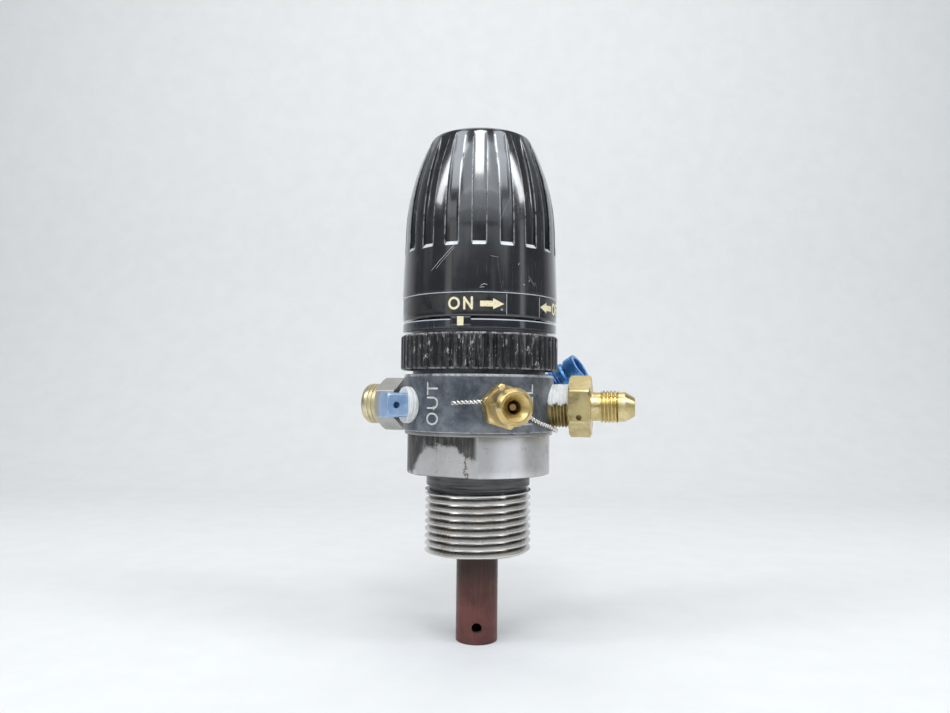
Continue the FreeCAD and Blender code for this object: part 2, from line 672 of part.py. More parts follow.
def crown_arc(low, high, inset=0.0):
    """Edge along the crown between two heights."""
    middle = (low + high) / 2
    points = [Vector(crown_radius(z, inset), 0, z) for z in (low, middle, high)]
    return Part.Arc(*points).toShape()


def line(a, b):
    return Part.LineSegment(Vector(a[0], 0, a[1]), Vector(b[0], 0, b[1])).toShape()


def knob_blank():
    """Turned outline of the knob: a long taper, a crown arc and a rounded rim."""
    rim_z = KNOB_TOP - CROWN_EDGE
    rim_x = crown_radius(rim_z, CROWN_EDGE)
    start = math.asin((rim_z - SHOULDER_HEIGHT) / (CROWN_ARC_RADIUS - CROWN_EDGE))
    finish = math.pi / 2
    crown, bend, top = [
        (rim_x + CROWN_EDGE * math.cos(turn), rim_z + CROWN_EDGE * math.sin(turn))
        for turn in (start, (start + finish) / 2, finish)]
    shoulder = (SHOULDER_RADIUS, SHOULDER_HEIGHT)
    rim = Part.Arc(*[Vector(x, 0, z) for x, z in (crown, bend, top)]).toShape()
    edges = [
        line((0, SKIRT_FOOT), (SKIRT_RADIUS, SKIRT_FOOT)),
        line((SKIRT_RADIUS, SKIRT_FOOT), (SKIRT_RADIUS, SKIRT_TAPER_LOW)),
        line((SKIRT_RADIUS, SKIRT_TAPER_LOW), shoulder),
        crown_arc(SHOULDER_HEIGHT, crown[1]),
        rim,
        line(top, (0, KNOB_TOP)),
        line((0, KNOB_TOP), (0, SKIRT_FOOT))]
    return Part.Face(Part.Wire(edges)).revolve(Vector(0, 0, 0), UP, 360)


def flute_cutter():
    """One flute: a flat-bottomed slot that follows the crown and fades out above."""
    fade = KNOB_TOP - FLUTE_RUNOUT
    far = SKIRT_RADIUS + CUT
    shoulder_root = SHOULDER_RADIUS - FLUTE_DEPTH
    slope_top = FLUTE_LOW + FLUTE_DEPTH
    slope_foot = slope_top - (far - shoulder_root)
    runout = crown_radius(KNOB_TOP - CROWN_EDGE)
    edges = [
        line((shoulder_root, slope_top), (shoulder_root, SHOULDER_HEIGHT)),
        crown_arc(SHOULDER_HEIGHT, fade, FLUTE_DEPTH),
        line((crown_radius(fade, FLUTE_DEPTH), fade), (runout, KNOB_TOP - CROWN_EDGE)),
        line((runout, KNOB_TOP - CROWN_EDGE), (far, KNOB_TOP - CROWN_EDGE)),
        line((far, KNOB_TOP - CROWN_EDGE), (far, slope_foot)),
        line((far, slope_foot), (shoulder_root, slope_top))]
    face = Part.Face(Part.Wire(edges))
    face.translate(Vector(0, -FLUTE_WIDTH / 2, 0))
    return face.extrude(Vector(0, FLUTE_WIDTH, 0))


def stop_groove():
    """Arc groove under the knob's web, in which the stop pin ends the travel."""
    low = KNOB_WEB
    high = BONNET_TOP + STOP_PIN_RISE + RUN
    radius = STOP_PIN_RADIUS + RUN
    near = STOP_PIN_ORBIT - radius
    far = STOP_PIN_ORBIT + radius
    sweep = revolve([(near, low), (far, low), (far, high), (near, high)], STOP_TRAVEL)
    sweep.rotate(Vector(0, 0, 0), UP, STOP_PIN_AZIMUTH - 90)
    ends = []
    for azimuth in (STOP_PIN_AZIMUTH, STOP_PIN_AZIMUTH + STOP_TRAVEL):
        end = rod(radius, low, high)
        end.translate(polar(azimuth, STOP_PIN_ORBIT, 0))
        ends.append(end)
    return sweep.fuse(ends)


def knob():
    body = knob_blank()
    slots = []
    for i in range(FLUTES):
        slot = flute_cutter()
        slot.rotate(Vector(0, 0, 0), UP, FLUTE_AZIMUTH - 90 + 360 * i / FLUTES)
        slots.append(slot)
    band = ring(SKIRT_RADIUS + CUT, SKIRT_RADIUS - BAND_DEPTH, SKIRT_FOOT, BAND_TOP)
    hollow = revolve([
        (0, SKIRT_FOOT),
        (SKIRT_BORE, SKIRT_FOOT),
        (SKIRT_BORE, SKIRT_BORE_TOP),
        (KNOB_BORE, SKIRT_BORE_TOP + SKIRT_BORE - KNOB_BORE),
        (KNOB_BORE, KNOB_WEB),
        (0, KNOB_WEB)])
    socket = prism(4, SPINDLE_SQUARE + 2 * FIT, KNOB_WEB, SQUARE_TOP + SEAT, 45)
    screw_hole = rod(KNOB_SCREW_RADIUS + FIT, SQUARE_TOP, CAP_RECESS_FLOOR)
    recess = rod(CAP_RECESS_RADIUS, CAP_RECESS_FLOOR, KNOB_TOP)
    return body.cut(slots + [band, hollow, socket, screw_hole, recess, stop_groove()])


def knob_cap():
    low = KNOB_TOP - CAP_THICKNESS
    skirt = ring(CAP_RECESS_RADIUS - FIT, CAP_RECESS_RADIUS - CAP_WALL, CAP_RECESS_FLOOR, low)
    return rod(CAP_RECESS_RADIUS - FIT, low, KNOB_TOP).fuse(skirt).removeSplitter()


def knob_screw():
    head_top = CAP_RECESS_FLOOR + KNOB_SCREW_HEAD
    head = rod(KNOB_SCREW_HEAD_RADIUS, CAP_RECESS_FLOOR, head_top)
    shank = rod(KNOB_SCREW_RADIUS - FIT, CAP_RECESS_FLOOR - KNOB_SCREW_LENGTH, CAP_RECESS_FLOOR)
    socket = prism(6, KNOB_SCREW_SOCKET, head_top - KNOB_SCREW_HEAD / 2, head_top)
    return head.fuse(shank).removeSplitter().cut(socket)


def knob_washer():
    return ring(THRUST_RADIUS, SPINDLE_RADIUS + RUN, BONNET_TOP, BONNET_TOP + KNOB_WASHER)


def thrust_washer():
    return ring(THRUST_RADIUS, SPINDLE_RADIUS + RUN, THRUST_TOP, ROOF_FOOT)


def drive_spindle():
    foot = THRUST_FOOT - SCREW_STEM
    body = revolve([
        (0, foot),
        (SPINDLE_RADIUS - SPINDLE_CHAMFER, foot),
        (SPINDLE_RADIUS, foot + SPINDLE_CHAMFER),
        (SPINDLE_RADIUS, THRUST_FOOT),
        (THRUST_RADIUS, THRUST_FOOT),
        (THRUST_RADIUS, THRUST_TOP - SEAT),
        (SPINDLE_RADIUS, THRUST_TOP - SEAT),
        (SPINDLE_RADIUS, KNOB_WEB),
        (0, KNOB_WEB)])
    square = prism(4, SPINDLE_SQUARE, KNOB_WEB, SQUARE_TOP, 45)
    tapping = rod(KNOB_SCREW_RADIUS, CAP_RECESS_FLOOR - KNOB_SCREW_LENGTH - KNOB_SCREW_RUNOUT, SQUARE_TOP)
    return body.fuse(square).removeSplitter().cut(tapping)


def spring_follower():
    low = FOLLOWER_TOP - FOLLOWER_HEIGHT
    disc = rod(BONNET_BORE - RUN, low, FOLLOWER_TOP)
    hub = rod(FOLLOWER_HUB_RADIUS, low - FOLLOWER_HUB_DROP, FOLLOWER_TOP)
    key_reach = BONNET_BORE + KEYWAY_DEPTH - RUN
    key = Part.makeBox(key_reach, KEYWAY_WIDTH - 2 * RUN, FOLLOWER_HEIGHT,
                       Vector(0, RUN - KEYWAY_WIDTH / 2, low))
    bore = rod(SPINDLE_RADIUS + RUN, low - FOLLOWER_HUB_DROP, FOLLOWER_TOP)
    return disc.fuse([hub, key]).removeSplitter().cut(bore)


def regulating_spring():
    return helix_spring(MAIN_SPRING_RADIUS, MAIN_SPRING_WIRE, PISTON_TOP,
                        FOLLOWER_TOP - FOLLOWER_HEIGHT, MAIN_SPRING_TURNS)


def outlet_fitting():
    stem = revolve([
        (0, THREAD_END),
        (OUTLET_THREAD_RADIUS, THREAD_END),
        (OUTLET_THREAD_RADIUS, OUTLET_HEX_END),
        (OUTLET_NECK_RADIUS, OUTLET_HEX_END),
        (OUTLET_NECK_RADIUS, OUTLET_FLARE_START),
        (OUTLET_FLARE_THREAD, OUTLET_FLARE_START),
        (OUTLET_FLARE_THREAD, OUTLET_FLARE_END),
        (OUTLET_NOSE_RADIUS, OUTLET_FLARE_END),
        (OUTLET_NOSE_RADIUS, OUTLET_NOSE_END),
        (OUTLET_TIP_RADIUS, OUTLET_TIP),
        (0, OUTLET_TIP)])
    hexagon = nut_blank(OUTLET_HEX_FLATS, OUTLET_HEX_START, OUTLET_HEX_END)
    bore = rod(OUTLET_BORE, PORT_FLOOR, OUTLET_TIP)
    middle = (OUTLET_HEX_START + OUTLET_HEX_END) / 2
    corner = OUTLET_HEX_FLATS / math.sqrt(3)
    wire_hole = Part.makeCylinder(WIRE_HOLE_RADIUS, 2 * corner,
                                  Vector(-corner, -WIRE_HOLE_DROP, middle),
                                  Vector(1, 0, 0))
    return place(stem.fuse(hexagon).removeSplitter().cut([bore, wire_hole]),
                 port_frame(OUTLET_AZIMUTH))


def fill_valve_body():
    stem = revolve([
        (0, THREAD_END),
        (FILL_THREAD_RADIUS, THREAD_END),
        (FILL_THREAD_RADIUS, FILL_HEX_START),
        (FILL_BODY_RADIUS, FILL_HEX_START),
        (FILL_BODY_RADIUS, FILL_TIP - FILL_TIP_CHAMFER),
        (FILL_TIP_RADIUS, FILL_TIP),
        (0, FILL_TIP)])
    hexagon = nut_blank(FILL_HEX_FLATS, FILL_HEX_START, FILL_HEX_END, FILL_HEX_TURN)
    passage = revolve([
        (0, PORT_FLOOR),
        (FILL_SPRING_RADIUS - FILL_SPRING_WIRE, PORT_FLOOR),
        (FILL_SPRING_RADIUS - FILL_SPRING_WIRE, FILL_SPRING_FLOOR),
        (FILL_SPRING_BORE, FILL_SPRING_FLOOR),
        (FILL_SPRING_BORE, FILL_SEAT),
        (FILL_BORE, FILL_SEAT),
        (FILL_BORE, FILL_TIP - FILL_MOUTH_DEPTH),
        (FILL_MOUTH_RADIUS, FILL_TIP),
        (0, FILL_TIP)])
    body = stem.fuse(hexagon).removeSplitter().cut(passage)
    return place(body, port_frame(FILL_AZIMUTH)).cut(wire_seats())


def fill_pin():
    shoulder = FILL_SEAT
    pin = revolve([
        (0, shoulder - FILL_PIN_HEAD),
        (FILL_PIN_HEAD_RADIUS, shoulder - FILL_PIN_HEAD),
        (FILL_PIN_HEAD_RADIUS, shoulder - SEAT),
        (FILL_PIN_RADIUS, shoulder - SEAT),
        (FILL_PIN_RADIUS, FILL_TIP - FILL_PIN_SETBACK),
        (0, FILL_TIP - FILL_PIN_SETBACK)])
    return place(pin, port_frame(FILL_AZIMUTH))


def fill_spring():
    spring = helix_spring(FILL_SPRING_RADIUS, FILL_SPRING_WIRE, FILL_SPRING_FLOOR,
                          FILL_SEAT - FILL_PIN_HEAD, FILL_SPRING_TURNS, square=True)
    return place(spring, port_frame(FILL_AZIMUTH))


def gauge_plug():
    thread = rod(PLUG_THREAD_RADIUS, THREAD_END, PLUG_TAPE_END)
    head = prism(4, PLUG_FLATS, PLUG_TAPE_END, PLUG_HEAD_END, 45)
    corner = PLUG_FLATS / math.sqrt(2)
    envelope = revolve([
        (0, PLUG_TAPE_END),
        (corner - EDGE, PLUG_TAPE_END),
        (corner - EDGE, PLUG_HEAD_END - PLUG_CHAMFER),
        (corner - EDGE - PLUG_CHAMFER, PLUG_HEAD_END),
        (0, PLUG_HEAD_END)])
    hole = Part.makeCylinder(PLUG_HOLE_RADIUS, PLUG_FLATS + 2 * CUT,
                             Vector(-PLUG_FLATS / 2 - CUT, 0, PLUG_TAPE_END + PLUG_HOLE_UP),
                             Vector(1, 0, 0))
    body = thread.fuse(head.common(envelope)).removeSplitter().cut(hole)
    return place(body, port_frame(PLUG_AZIMUTH))


def relief_body():
    stem = rod(RELIEF_THREAD_RADIUS, THREAD_END, RELIEF_HEX_END)
    hexagon = nut_blank(RELIEF_HEX_FLATS, RELIEF_HEX_START, RELIEF_HEX_END)
    bore = rod(DRILL_RADIUS, THREAD_END, RELIEF_HEX_END)
    return place(stem.fuse(hexagon).removeSplitter().cut(bore), port_frame(RELIEF_AZIMUTH))


def relief_cap():
    cap = rod(RELIEF_CAP_RADIUS, RELIEF_HEX_END, RELIEF_CAP_END)
    cap = cap.makeFillet(RELIEF_CAP_ROUNDING, [cap.Edges[0]])
    vents = []
    middle = (RELIEF_HEX_END + RELIEF_CAP_END) / 2
    for axis in (Vector(1, 0, 0), Vector(0, 1, 0)):
        start = axis * -(RELIEF_CAP_RADIUS + CUT) + Vector(0, 0, middle)
        vents.append(Part.makeCylinder(RELIEF_VENT_RADIUS, 2 * (RELIEF_CAP_RADIUS + CUT), start, axis))
    bore = rod(DRILL_RADIUS, RELIEF_HEX_END, middle)
    return place(cap.cut(vents + [bore]), port_frame(RELIEF_AZIMUTH))


def elbow_corner():
    return polar(ELBOW_AZIMUTH, ELBOW_CORNER, PORT_Z)


def elbow_outlet_frame():
    """Placement at the elbow's corner whose local Z points along the outlet."""
    return port_frame(0, elbow_corner(), ELBOW_RISE, ELBOW_SWING)


def elbow_fitting():
    inlet = revolve([
        (0, THREAD_END),
        (ELBOW_THREAD_RADIUS, THREAD_END),
        (ELBOW_THREAD_RADIUS, ELBOW_SHOULDER),
        (ELBOW_BODY_RADIUS, ELBOW_SHOULDER),
        (ELBOW_BODY_RADIUS, ELBOW_CORNER),
        (0, ELBOW_CORNER)])
    inlet = place(inlet, port_frame(ELBOW_AZIMUTH))
    corner = Part.makeSphere(ELBOW_BODY_RADIUS, elbow_corner())
    outlet = revolve([
        (0, 0),
        (ELBOW_BODY_RADIUS, 0),
        (ELBOW_BODY_RADIUS, ELBOW_ARM),
        (ELBOW_NECK_RADIUS, ELBOW_ARM),
        (ELBOW_NECK_RADIUS, NIPPLE_START),
        (0, NIPPLE_START)])
    outlet = place(outlet, elbow_outlet_frame())
    passage_in = place(rod(DRILL_RADIUS, PORT_FLOOR, ELBOW_CORNER), port_frame(ELBOW_AZIMUTH))
    passage_out = place(rod(DRILL_RADIUS, 0, NIPPLE_START), elbow_outlet_frame())
    return inlet.fuse([corner, outlet]).removeSplitter().cut([passage_in, passage_out])


def outlet_nipple():
    body = revolve([
        (0, NIPPLE_START),
        (NIPPLE_THREAD_RADIUS, NIPPLE_START),
        (NIPPLE_THREAD_RADIUS, NIPPLE_THREAD_END),
        (NIPPLE_RADIUS, NIPPLE_THREAD_END),
        (NIPPLE_RADIUS, NIPPLE_DISC_END),
        (NIPPLE_WAIST_RADIUS, NIPPLE_DISC_END + NIPPLE_RADIUS - NIPPLE_WAIST_RADIUS),
        (NIPPLE_WAIST_RADIUS, NIPPLE_COLLAR_START),
        (NIPPLE_RADIUS, NIPPLE_COLLAR_START),
        (NIPPLE_RADIUS, NIPPLE_END - EDGE),
        (NIPPLE_RADIUS - EDGE, NIPPLE_END),
        (0, NIPPLE_END)])
    bore = rod(NIPPLE_BORE, NIPPLE_START, NIPPLE_END)
    return place(body.cut(bore), elbow_outlet_frame())


def fill_flank(side, z):
    """Point on one flank of the fill valve's hexagon, and the way into it."""
    across = port_frame(FILL_AZIMUTH).Rotation.multVec(Vector(side, 0, 0))
    third = (2 * FILL_HEX_START + FILL_HEX_END) / 3
    flank = FILL_HEX_FLATS / 2
    return polar(FILL_AZIMUTH, third, z) + across * flank, across


def wire_run(points):
    """Round wire along straight runs joined by tangent arcs."""
    edges = []
    cursor = points[0]
    for i in range(1, len(points) - 1):
        back = (points[i - 1] - points[i])
        ahead = (points[i + 1] - points[i])
        half_turn = (math.pi - back.getAngle(ahead)) / 2
        reach = WIRE_BEND_SHARE * min(back.Length, ahead.Length)
        radius = reach / math.tan(half_turn)
        back.normalize()
        ahead.normalize()
        start = points[i] + back * reach
        end = points[i] + ahead * reach
        inward = (back + ahead).normalize()
        centre_reach = math.hypot(radius, reach)
        middle = points[i] + inward * (centre_reach - radius)
        edges.append(Part.LineSegment(cursor, start).toShape())
        edges.append(Part.Arc(start, middle, end).toShape())
        cursor = end
    edges.append(Part.LineSegment(cursor, points[-1]).toShape())
    heading = (points[1] - points[0])
    section = Part.Wire(Part.makeCircle(WIRE_RADIUS, points[0], heading))
    return Part.Wire(edges).makePipeShell([section], True, True)


def left_wire_points():
    hole_z = PORT_Z + WIRE_LEFT_RISE
    distance = BODY_RADIUS + WIRE_TAIL_STANDOFF
    end, across = fill_flank(-1, hole_z)
    bend = polar(WIRE_TAIL_BEND_AZIMUTH, distance, hole_z)
    tail = polar(WIRE_TAIL_AZIMUTH, distance, PORT_Z + WIRE_TAIL_RISE)
    return [tail, bend, end + across * WIRE_LEAD, end - across * WIRE_HOLE_DEPTH]


def right_wire_points():
    start, across = fill_flank(1, PORT_Z + WIRE_RIGHT_RISE)
    distance = BODY_RADIUS + WIRE_RADIUS + WIRE_CLEARANCE
    points = [start - across * WIRE_HOLE_DEPTH, start + across * WIRE_LEAD]
    for azimuth, rise in WIRE_BENDS:
        points.append(polar(azimuth, distance, PORT_Z + rise))
    points.append(polar(WIRE_END_AZIMUTH, distance, PORT_Z + WIRE_END_RISE))
    return points


def wire_seats():
    """Holes in the fill valve's hexagon that the wire ends sit in."""
    holes = []
    for side, rise in ((-1, WIRE_LEFT_RISE), (1, WIRE_RIGHT_RISE)):
        point, across = fill_flank(side, PORT_Z + rise)
        length = WIRE_HOLE_DEPTH + SEAT + WIRE_LEAD
        holes.append(Part.makeCylinder(WIRE_RADIUS + FIT, length,
                                       point - across * (WIRE_HOLE_DEPTH + SEAT), across))
    return holes


def lockwire_tail():
    return wire_run(left_wire_points())


def lockwire_run():
    return wire_run(right_wire_points())


def outlet_tape():
    return tape_collar(OUTLET_THREAD_RADIUS, OUTLET_HEX_START, OUTLET_AZIMUTH)


def plug_tape():
    return tape_collar(PLUG_THREAD_RADIUS, PLUG_TAPE_END, PLUG_AZIMUTH)


def elbow_tape():
    return tape_collar(ELBOW_THREAD_RADIUS, ELBOW_SHOULDER, ELBOW_AZIMUTH)


PIECES = {
    "cylinder_stem": cylinder_stem,
    "debris_tube": debris_tube,
    "spacer_washer": spacer_washer,
    "body_seal": body_seal,
    "port_body": port_body,
    "seat_insert": seat_insert,
    "inlet_filter": inlet_filter,
    "filter_ring": filter_ring,
    "poppet": poppet,
    "poppet_spring": poppet_spring,
    "regulating_piston": regulating_piston,
    "piston_seal": piston_seal,
    "clamp_collar": clamp_collar,
    "bonnet": bonnet,
    "stop_pin": stop_pin,
    "ring_spacer": ring_spacer,
    "index_ring": index_ring,
    "knob": knob,
    "knob_cap": knob_cap,
    "knob_screw": knob_screw,
    "knob_washer": knob_washer,
    "thrust_washer": thrust_washer,
    "drive_spindle": drive_spindle,
    "spring_follower": spring_follower,
    "regulating_spring": regulating_spring,
    "outlet_fitting": outlet_fitting,
    "outlet_tape": outlet_tape,
    "fill_valve_body": fill_valve_body,
    "fill_pin": fill_pin,
    "fill_spring": fill_spring,
    "gauge_plug": gauge_plug,
    "plug_tape": plug_tape,
    "relief_body": relief_body,
    "relief_cap": relief_cap,
    "elbow_fitting": elbow_fitting,
    "elbow_tape": elbow_tape,
    "outlet_nipple": outlet_nipple,
    "lockwire_tail": lockwire_tail,
    "lockwire_run": lockwire_run,
}

os.makedirs("parts", exist_ok=True)
for name, make in PIECES.items():
    solid = make()
    solid.exportStep("parts/" + name + ".step")
    print(name, "valid" if solid.isValid() else "INVALID", len(solid.Solids),
          round(solid.Volume, 2), "mm3")
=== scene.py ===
import bpy
import bmesh
import json
import random
from math import acos, asin, copysign, cos, degrees, dist, hypot, pi, radians, sin, sqrt, tan
from mathutils import Matrix, Quaternion, Vector


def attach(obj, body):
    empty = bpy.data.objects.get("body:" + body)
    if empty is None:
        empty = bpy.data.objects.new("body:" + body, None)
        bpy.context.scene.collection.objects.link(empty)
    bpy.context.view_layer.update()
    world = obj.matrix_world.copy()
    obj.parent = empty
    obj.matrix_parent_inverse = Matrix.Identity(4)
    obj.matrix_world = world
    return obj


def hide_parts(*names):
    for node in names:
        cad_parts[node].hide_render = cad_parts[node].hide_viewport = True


# The frame's axis is Z, up towards the knob. Shapes are drawn in millimetres and
# turned into metres when their mesh is made. An azimuth runs from -Y towards +X.
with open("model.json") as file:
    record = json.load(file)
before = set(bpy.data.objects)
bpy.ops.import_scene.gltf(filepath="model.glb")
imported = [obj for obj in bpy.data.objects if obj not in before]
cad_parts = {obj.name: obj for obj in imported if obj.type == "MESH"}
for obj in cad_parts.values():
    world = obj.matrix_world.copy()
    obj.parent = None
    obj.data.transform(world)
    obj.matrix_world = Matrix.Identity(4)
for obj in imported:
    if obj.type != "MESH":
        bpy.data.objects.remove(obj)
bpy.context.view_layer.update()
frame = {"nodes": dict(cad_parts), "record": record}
MM = 0.001

# Levels and radii of the frame
PORT_Z = 20.05
STEM_FOOT = -23.05
TUBE_FOOT = -49.55
THREAD_TOP = -4.95
BODY_RADIUS = 22.55
BODY_LOW = 12.5
BODY_TOP = 29.0
COLLAR_RADIUS = 23.65
COLLAR_LOW = 30.35
COLLAR_TOP = 40.5
RING_LOW = 41.5
RING_TOP = 44.1
SKIRT_LOW = 44.85
SKIRT_RADIUS = 23.4
BAND_RADIUS = 23.2
BAND_TOP = 51.35
TAPER_LOW = 50.3
SHOULDER_RADIUS = 22.7
SHOULDER_Z = 69.9
CROWN_ARC = 63.5
CROWN_EDGE = 1.2
KNOB_TOP = 100.3
FLUTE_LOW = 64.9
FLUTE_DEPTH = 1.0
FLUTE_FADE = 92.3
FLUTE_TURN = -1.1
CAP_RADIUS = 8.0
CAP_FLOOR = 93.1
FLUTES = 18
WRENCH_RADIUS = 21.35
WRENCH_FLAT = 18.9
FLAT_TURN = -28.0
RING_BORE = 17.1
PORT_FLOOR = 15.7
ELBOW_RADIUS = 5.29
FILL_NUT = 25.0
FILL_FLAT = 5.55
WIRE_FAR = 24.5
WIRE_NEAR = 23.55
HEX_FACE = 1.05
HEX_BEVEL = radians(30)

# Azimuths of the ports, the blue nipple and the index tab
OUTLET = 78.0
FILL = 15.0
PLUG = -63.0
RELIEF = -110.0
ELBOW = 152.0
SWING = 65.0
TAB = -13.4


# shapes
def direction(azimuth):
    angle = radians(azimuth)
    return Vector((sin(angle), -cos(angle), 0))


def polar(azimuth, distance, z):
    return direction(azimuth) * distance + Vector((0, 0, z))


def axis_matrix(out, origin):
    """Local Z along out, local Y as near to up as it can be."""
    out = out.normalized()
    across = Vector((0, 0, 1)).cross(out).normalized()
    up = out.cross(across).normalized()
    m = Matrix((across, up, out)).transposed().to_4x4()
    m.translation = origin
    return m


def port_matrix(azimuth):
    return axis_matrix(direction(azimuth), Vector((0, 0, PORT_Z)))


ELBOW_CORNER = polar(ELBOW, 35.0, PORT_Z)
ELBOW_RISE = radians(33.5)
ELBOW_OUT = direction(SWING) * cos(ELBOW_RISE) + Vector((0, 0, sin(ELBOW_RISE)))
ELBOW_MATRIX = axis_matrix(ELBOW_OUT, ELBOW_CORNER)


def soften(profile, radius, steps=3):
    """Profile with its corners rounded off."""
    out = [profile[0]]
    for before, corner, after in zip(profile, profile[1:], profile[2:]):
        c = Vector(corner)
        a = Vector(before) - c
        b = Vector(after) - c
        if a.length < 1e-6 or b.length < 1e-6 or pi - a.angle(b) < radians(12):
            out.append(corner)
            continue
        reach = min(radius * tan((pi - a.angle(b)) / 2), 0.45 * a.length, 0.45 * b.length)
        start = c + a.normalized() * reach
        end = c + b.normalized() * reach
        for k in range(steps + 1):
            t = k / steps
            p = start * (1 - t) ** 2 + c * (2 * t * (1 - t)) + end * t ** 2
            out.append((p.x, p.y))
    out.append(profile[-1])
    return out


def spans(profile, step):
    """Profile with its long runs divided."""
    out = [profile[0]]
    for a, b in zip(profile, profile[1:]):
        count = max(1, int(dist(a, b) / step))
        for k in range(1, count + 1):
            t = k / count
            out.append((a[0] + (b[0] - a[0]) * t, a[1] + (b[1] - a[1]) * t))
    return out


def sheet(rows, shift=0):
    """Vertices and faces of a closed band of rows. The last column joins the first, shift rows up."""
    width = len(rows[0])
    verts = [p for row in rows for p in row]
    faces = []
    for j in range(len(rows) - 1):
        for i in range(width):
            k = (i + 1) % width
            up = shift if k == 0 else 0
            if j + 1 + up >= len(rows):
                continue
            faces.append((j * width + i, (j + up) * width + k,
                          (j + 1 + up) * width + k, (j + 1) * width + i))
    return verts, faces


def circle(count):
    return [2 * pi * i / count for i in range(count)]


def lathe(profile, thetas=96, limit=None):
    """Turned shell from (radius, height) points, cut back to limit(theta)."""
    angles = circle(thetas) if isinstance(thetas, int) else thetas
    rows = []
    for r, z in profile:
        reach = [r if limit is None else min(r, limit(t)) for t in angles]
        rows.append([(q * cos(t), q * sin(t), z) for q, t in zip(reach, angles)])
    return sheet(rows)


def turned(profile, corner, run=99.0, thetas=96, steps=3):
    """Shell from a profile with rounded corners and its long runs divided."""
    return lathe(spans(soften(profile, corner, steps), run), thetas)


def thread(crest, depth, pitch, low, high, columns=96, per_pitch=10, flat=0.14, wear=0.0,
           seed=1):
    """Helical thread between two levels."""
    rng = random.Random(seed)
    turns = int((high - low) / pitch) + 3
    bumps = [[rng.uniform(-1, 1) for _ in range(columns)] for _ in range(turns + 1)]
    rows = []
    for j in range((turns + 1) * per_pitch + 1):
        share = j / per_pitch
        row = []
        for i in range(columns):
            t = 2 * pi * i / columns
            z = low - pitch + pitch * (share + i / columns)
            phase = share % 1.0
            v = abs(phase - 0.5) * 2
            ridge = min(1.0, max(0.0, (1 - v - flat / 2) / (1 - 2 * flat)))
            r = crest - depth * (1 - ridge)
            if ridge > 0.9:
                r -= wear * max(0.0, bumps[int(share) % turns][i])
            z = min(max(z, low), high)
            row.append((r * cos(t), r * sin(t), z))
        rows.append(row)
    return sheet(rows, per_pitch)


def hexagon(flats, turn=0.0):
    """Radius of a hexagon, with a corner at 90 degrees plus turn."""
    def limit(t):
        a = (degrees(t) - 90 - turn) % 60 - 30
        return flats / 2 / cos(radians(a))
    return limit


def hex_angles(turn=0.0, per_side=14):
    """Angles for a hexagon's shell: close beside each corner and even between."""
    out = []
    for side in range(6):
        start = 90 + turn + 60 * side
        out += [start, start + 0.7, start + 1.6]
        out += [start + 3 + 54 * k / per_side for k in range(per_side + 1)]
        out += [start + 58.4, start + 59.3]
    return [radians(a) for a in out]


def nut(flats, low, high, turn=0.0):
    """Closed hexagonal block with turned chamfers at both ends."""
    inner = flats / 2 * HEX_FACE
    top = flats / 2 / cos(pi / 6) + 0.35
    slope = (top - inner) * tan(HEX_BEVEL)
    profile = [(0, low), (inner, low)]
    profile += [(inner + (top - inner) * k / 7, low + slope * k / 7) for k in range(1, 8)]
    profile += [(top, low + slope + (high - low - 2 * slope) * k / 5) for k in range(1, 5)]
    profile += [(top - (top - inner) * k / 7, high - slope + slope * k / 7) for k in range(8)]
    profile.append((0, high))
    sides = hexagon(flats, turn)
    blunt = flats / 2 / cos(pi / 6) - 0.1
    return lathe(profile, hex_angles(turn), lambda t: min(sides(t), blunt))


def mesh_of(name, shells, matrix=None):
    """Mesh from shells in millimetres, as one data block in metres."""
    bm = bmesh.new()
    for verts, faces in shells:
        made = [bm.verts.new(v) for v in verts]
        for face in faces:
            corners = [made[i] for i in face]
            if len(set(corners)) == len(corners):
                bm.faces.new(corners)
    bmesh.ops.remove_doubles(bm, verts=bm.verts, dist=0.0015)
    bmesh.ops.dissolve_degenerate(bm, edges=bm.edges, dist=0.0005)
    if matrix is not None:
        bmesh.ops.transform(bm, matrix=matrix, verts=bm.verts)
    bmesh.ops.scale(bm, vec=(MM, MM, MM), verts=bm.verts)
    mesh = bpy.data.meshes.new(name)
    bm.to_mesh(mesh)
    bm.free()
    return mesh


def link(name, data):
    """New object in the scene."""
    obj = bpy.data.objects.new(name, data)
    bpy.context.scene.collection.objects.link(obj)
    return obj


def smooth(mesh, angle=32):
    mesh.polygons.foreach_set("use_smooth", [True] * len(mesh.polygons))
    mesh.set_sharp_from_angle(angle=radians(angle))
    mesh.update()


def carve(obj, cutters):
    """Cut closed shells out of an object."""
    tools = []
    for number, (shells, matrix) in enumerate(cutters):
        mesh = mesh_of(f"{obj.name}.tool{number}", shells, matrix)
        tool = link(mesh.name, mesh)
        modifier = obj.modifiers.new(tool.name, "BOOLEAN")
        modifier.operation = "DIFFERENCE"
        modifier.solver = "EXACT"
        modifier.object = tool
        tools.append(tool)
    bpy.context.view_layer.update()
    cut = bpy.data.meshes.new_from_object(obj.evaluated_get(bpy.context.evaluated_depsgraph_get()))
    cut.name = obj.name + ".cut"
    obj.modifiers.clear()
    obj.data = cut
    for tool in tools:
        bpy.data.objects.remove(tool)


def piece(name, shells, material, replaces=(), matrix=None, cutters=(), angle=32, body="body"):
    """Object from shells, less its cutters, that rides on a body and stands for CAD nodes."""
    obj = link(name, mesh_of(name, shells, matrix))
    if cutters:
        carve(obj, cutters)
    smooth(obj.data, angle)
    obj.data.materials.clear()
    obj.data.materials.append(material)
    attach(obj, body)
    if replaces:
        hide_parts(*replaces)


def rod(radius, low, high, count=48):
    """Closed cylinder, as shells."""
    return [lathe([(0, low), (radius, low), (radius, high), (0, high)], count)]


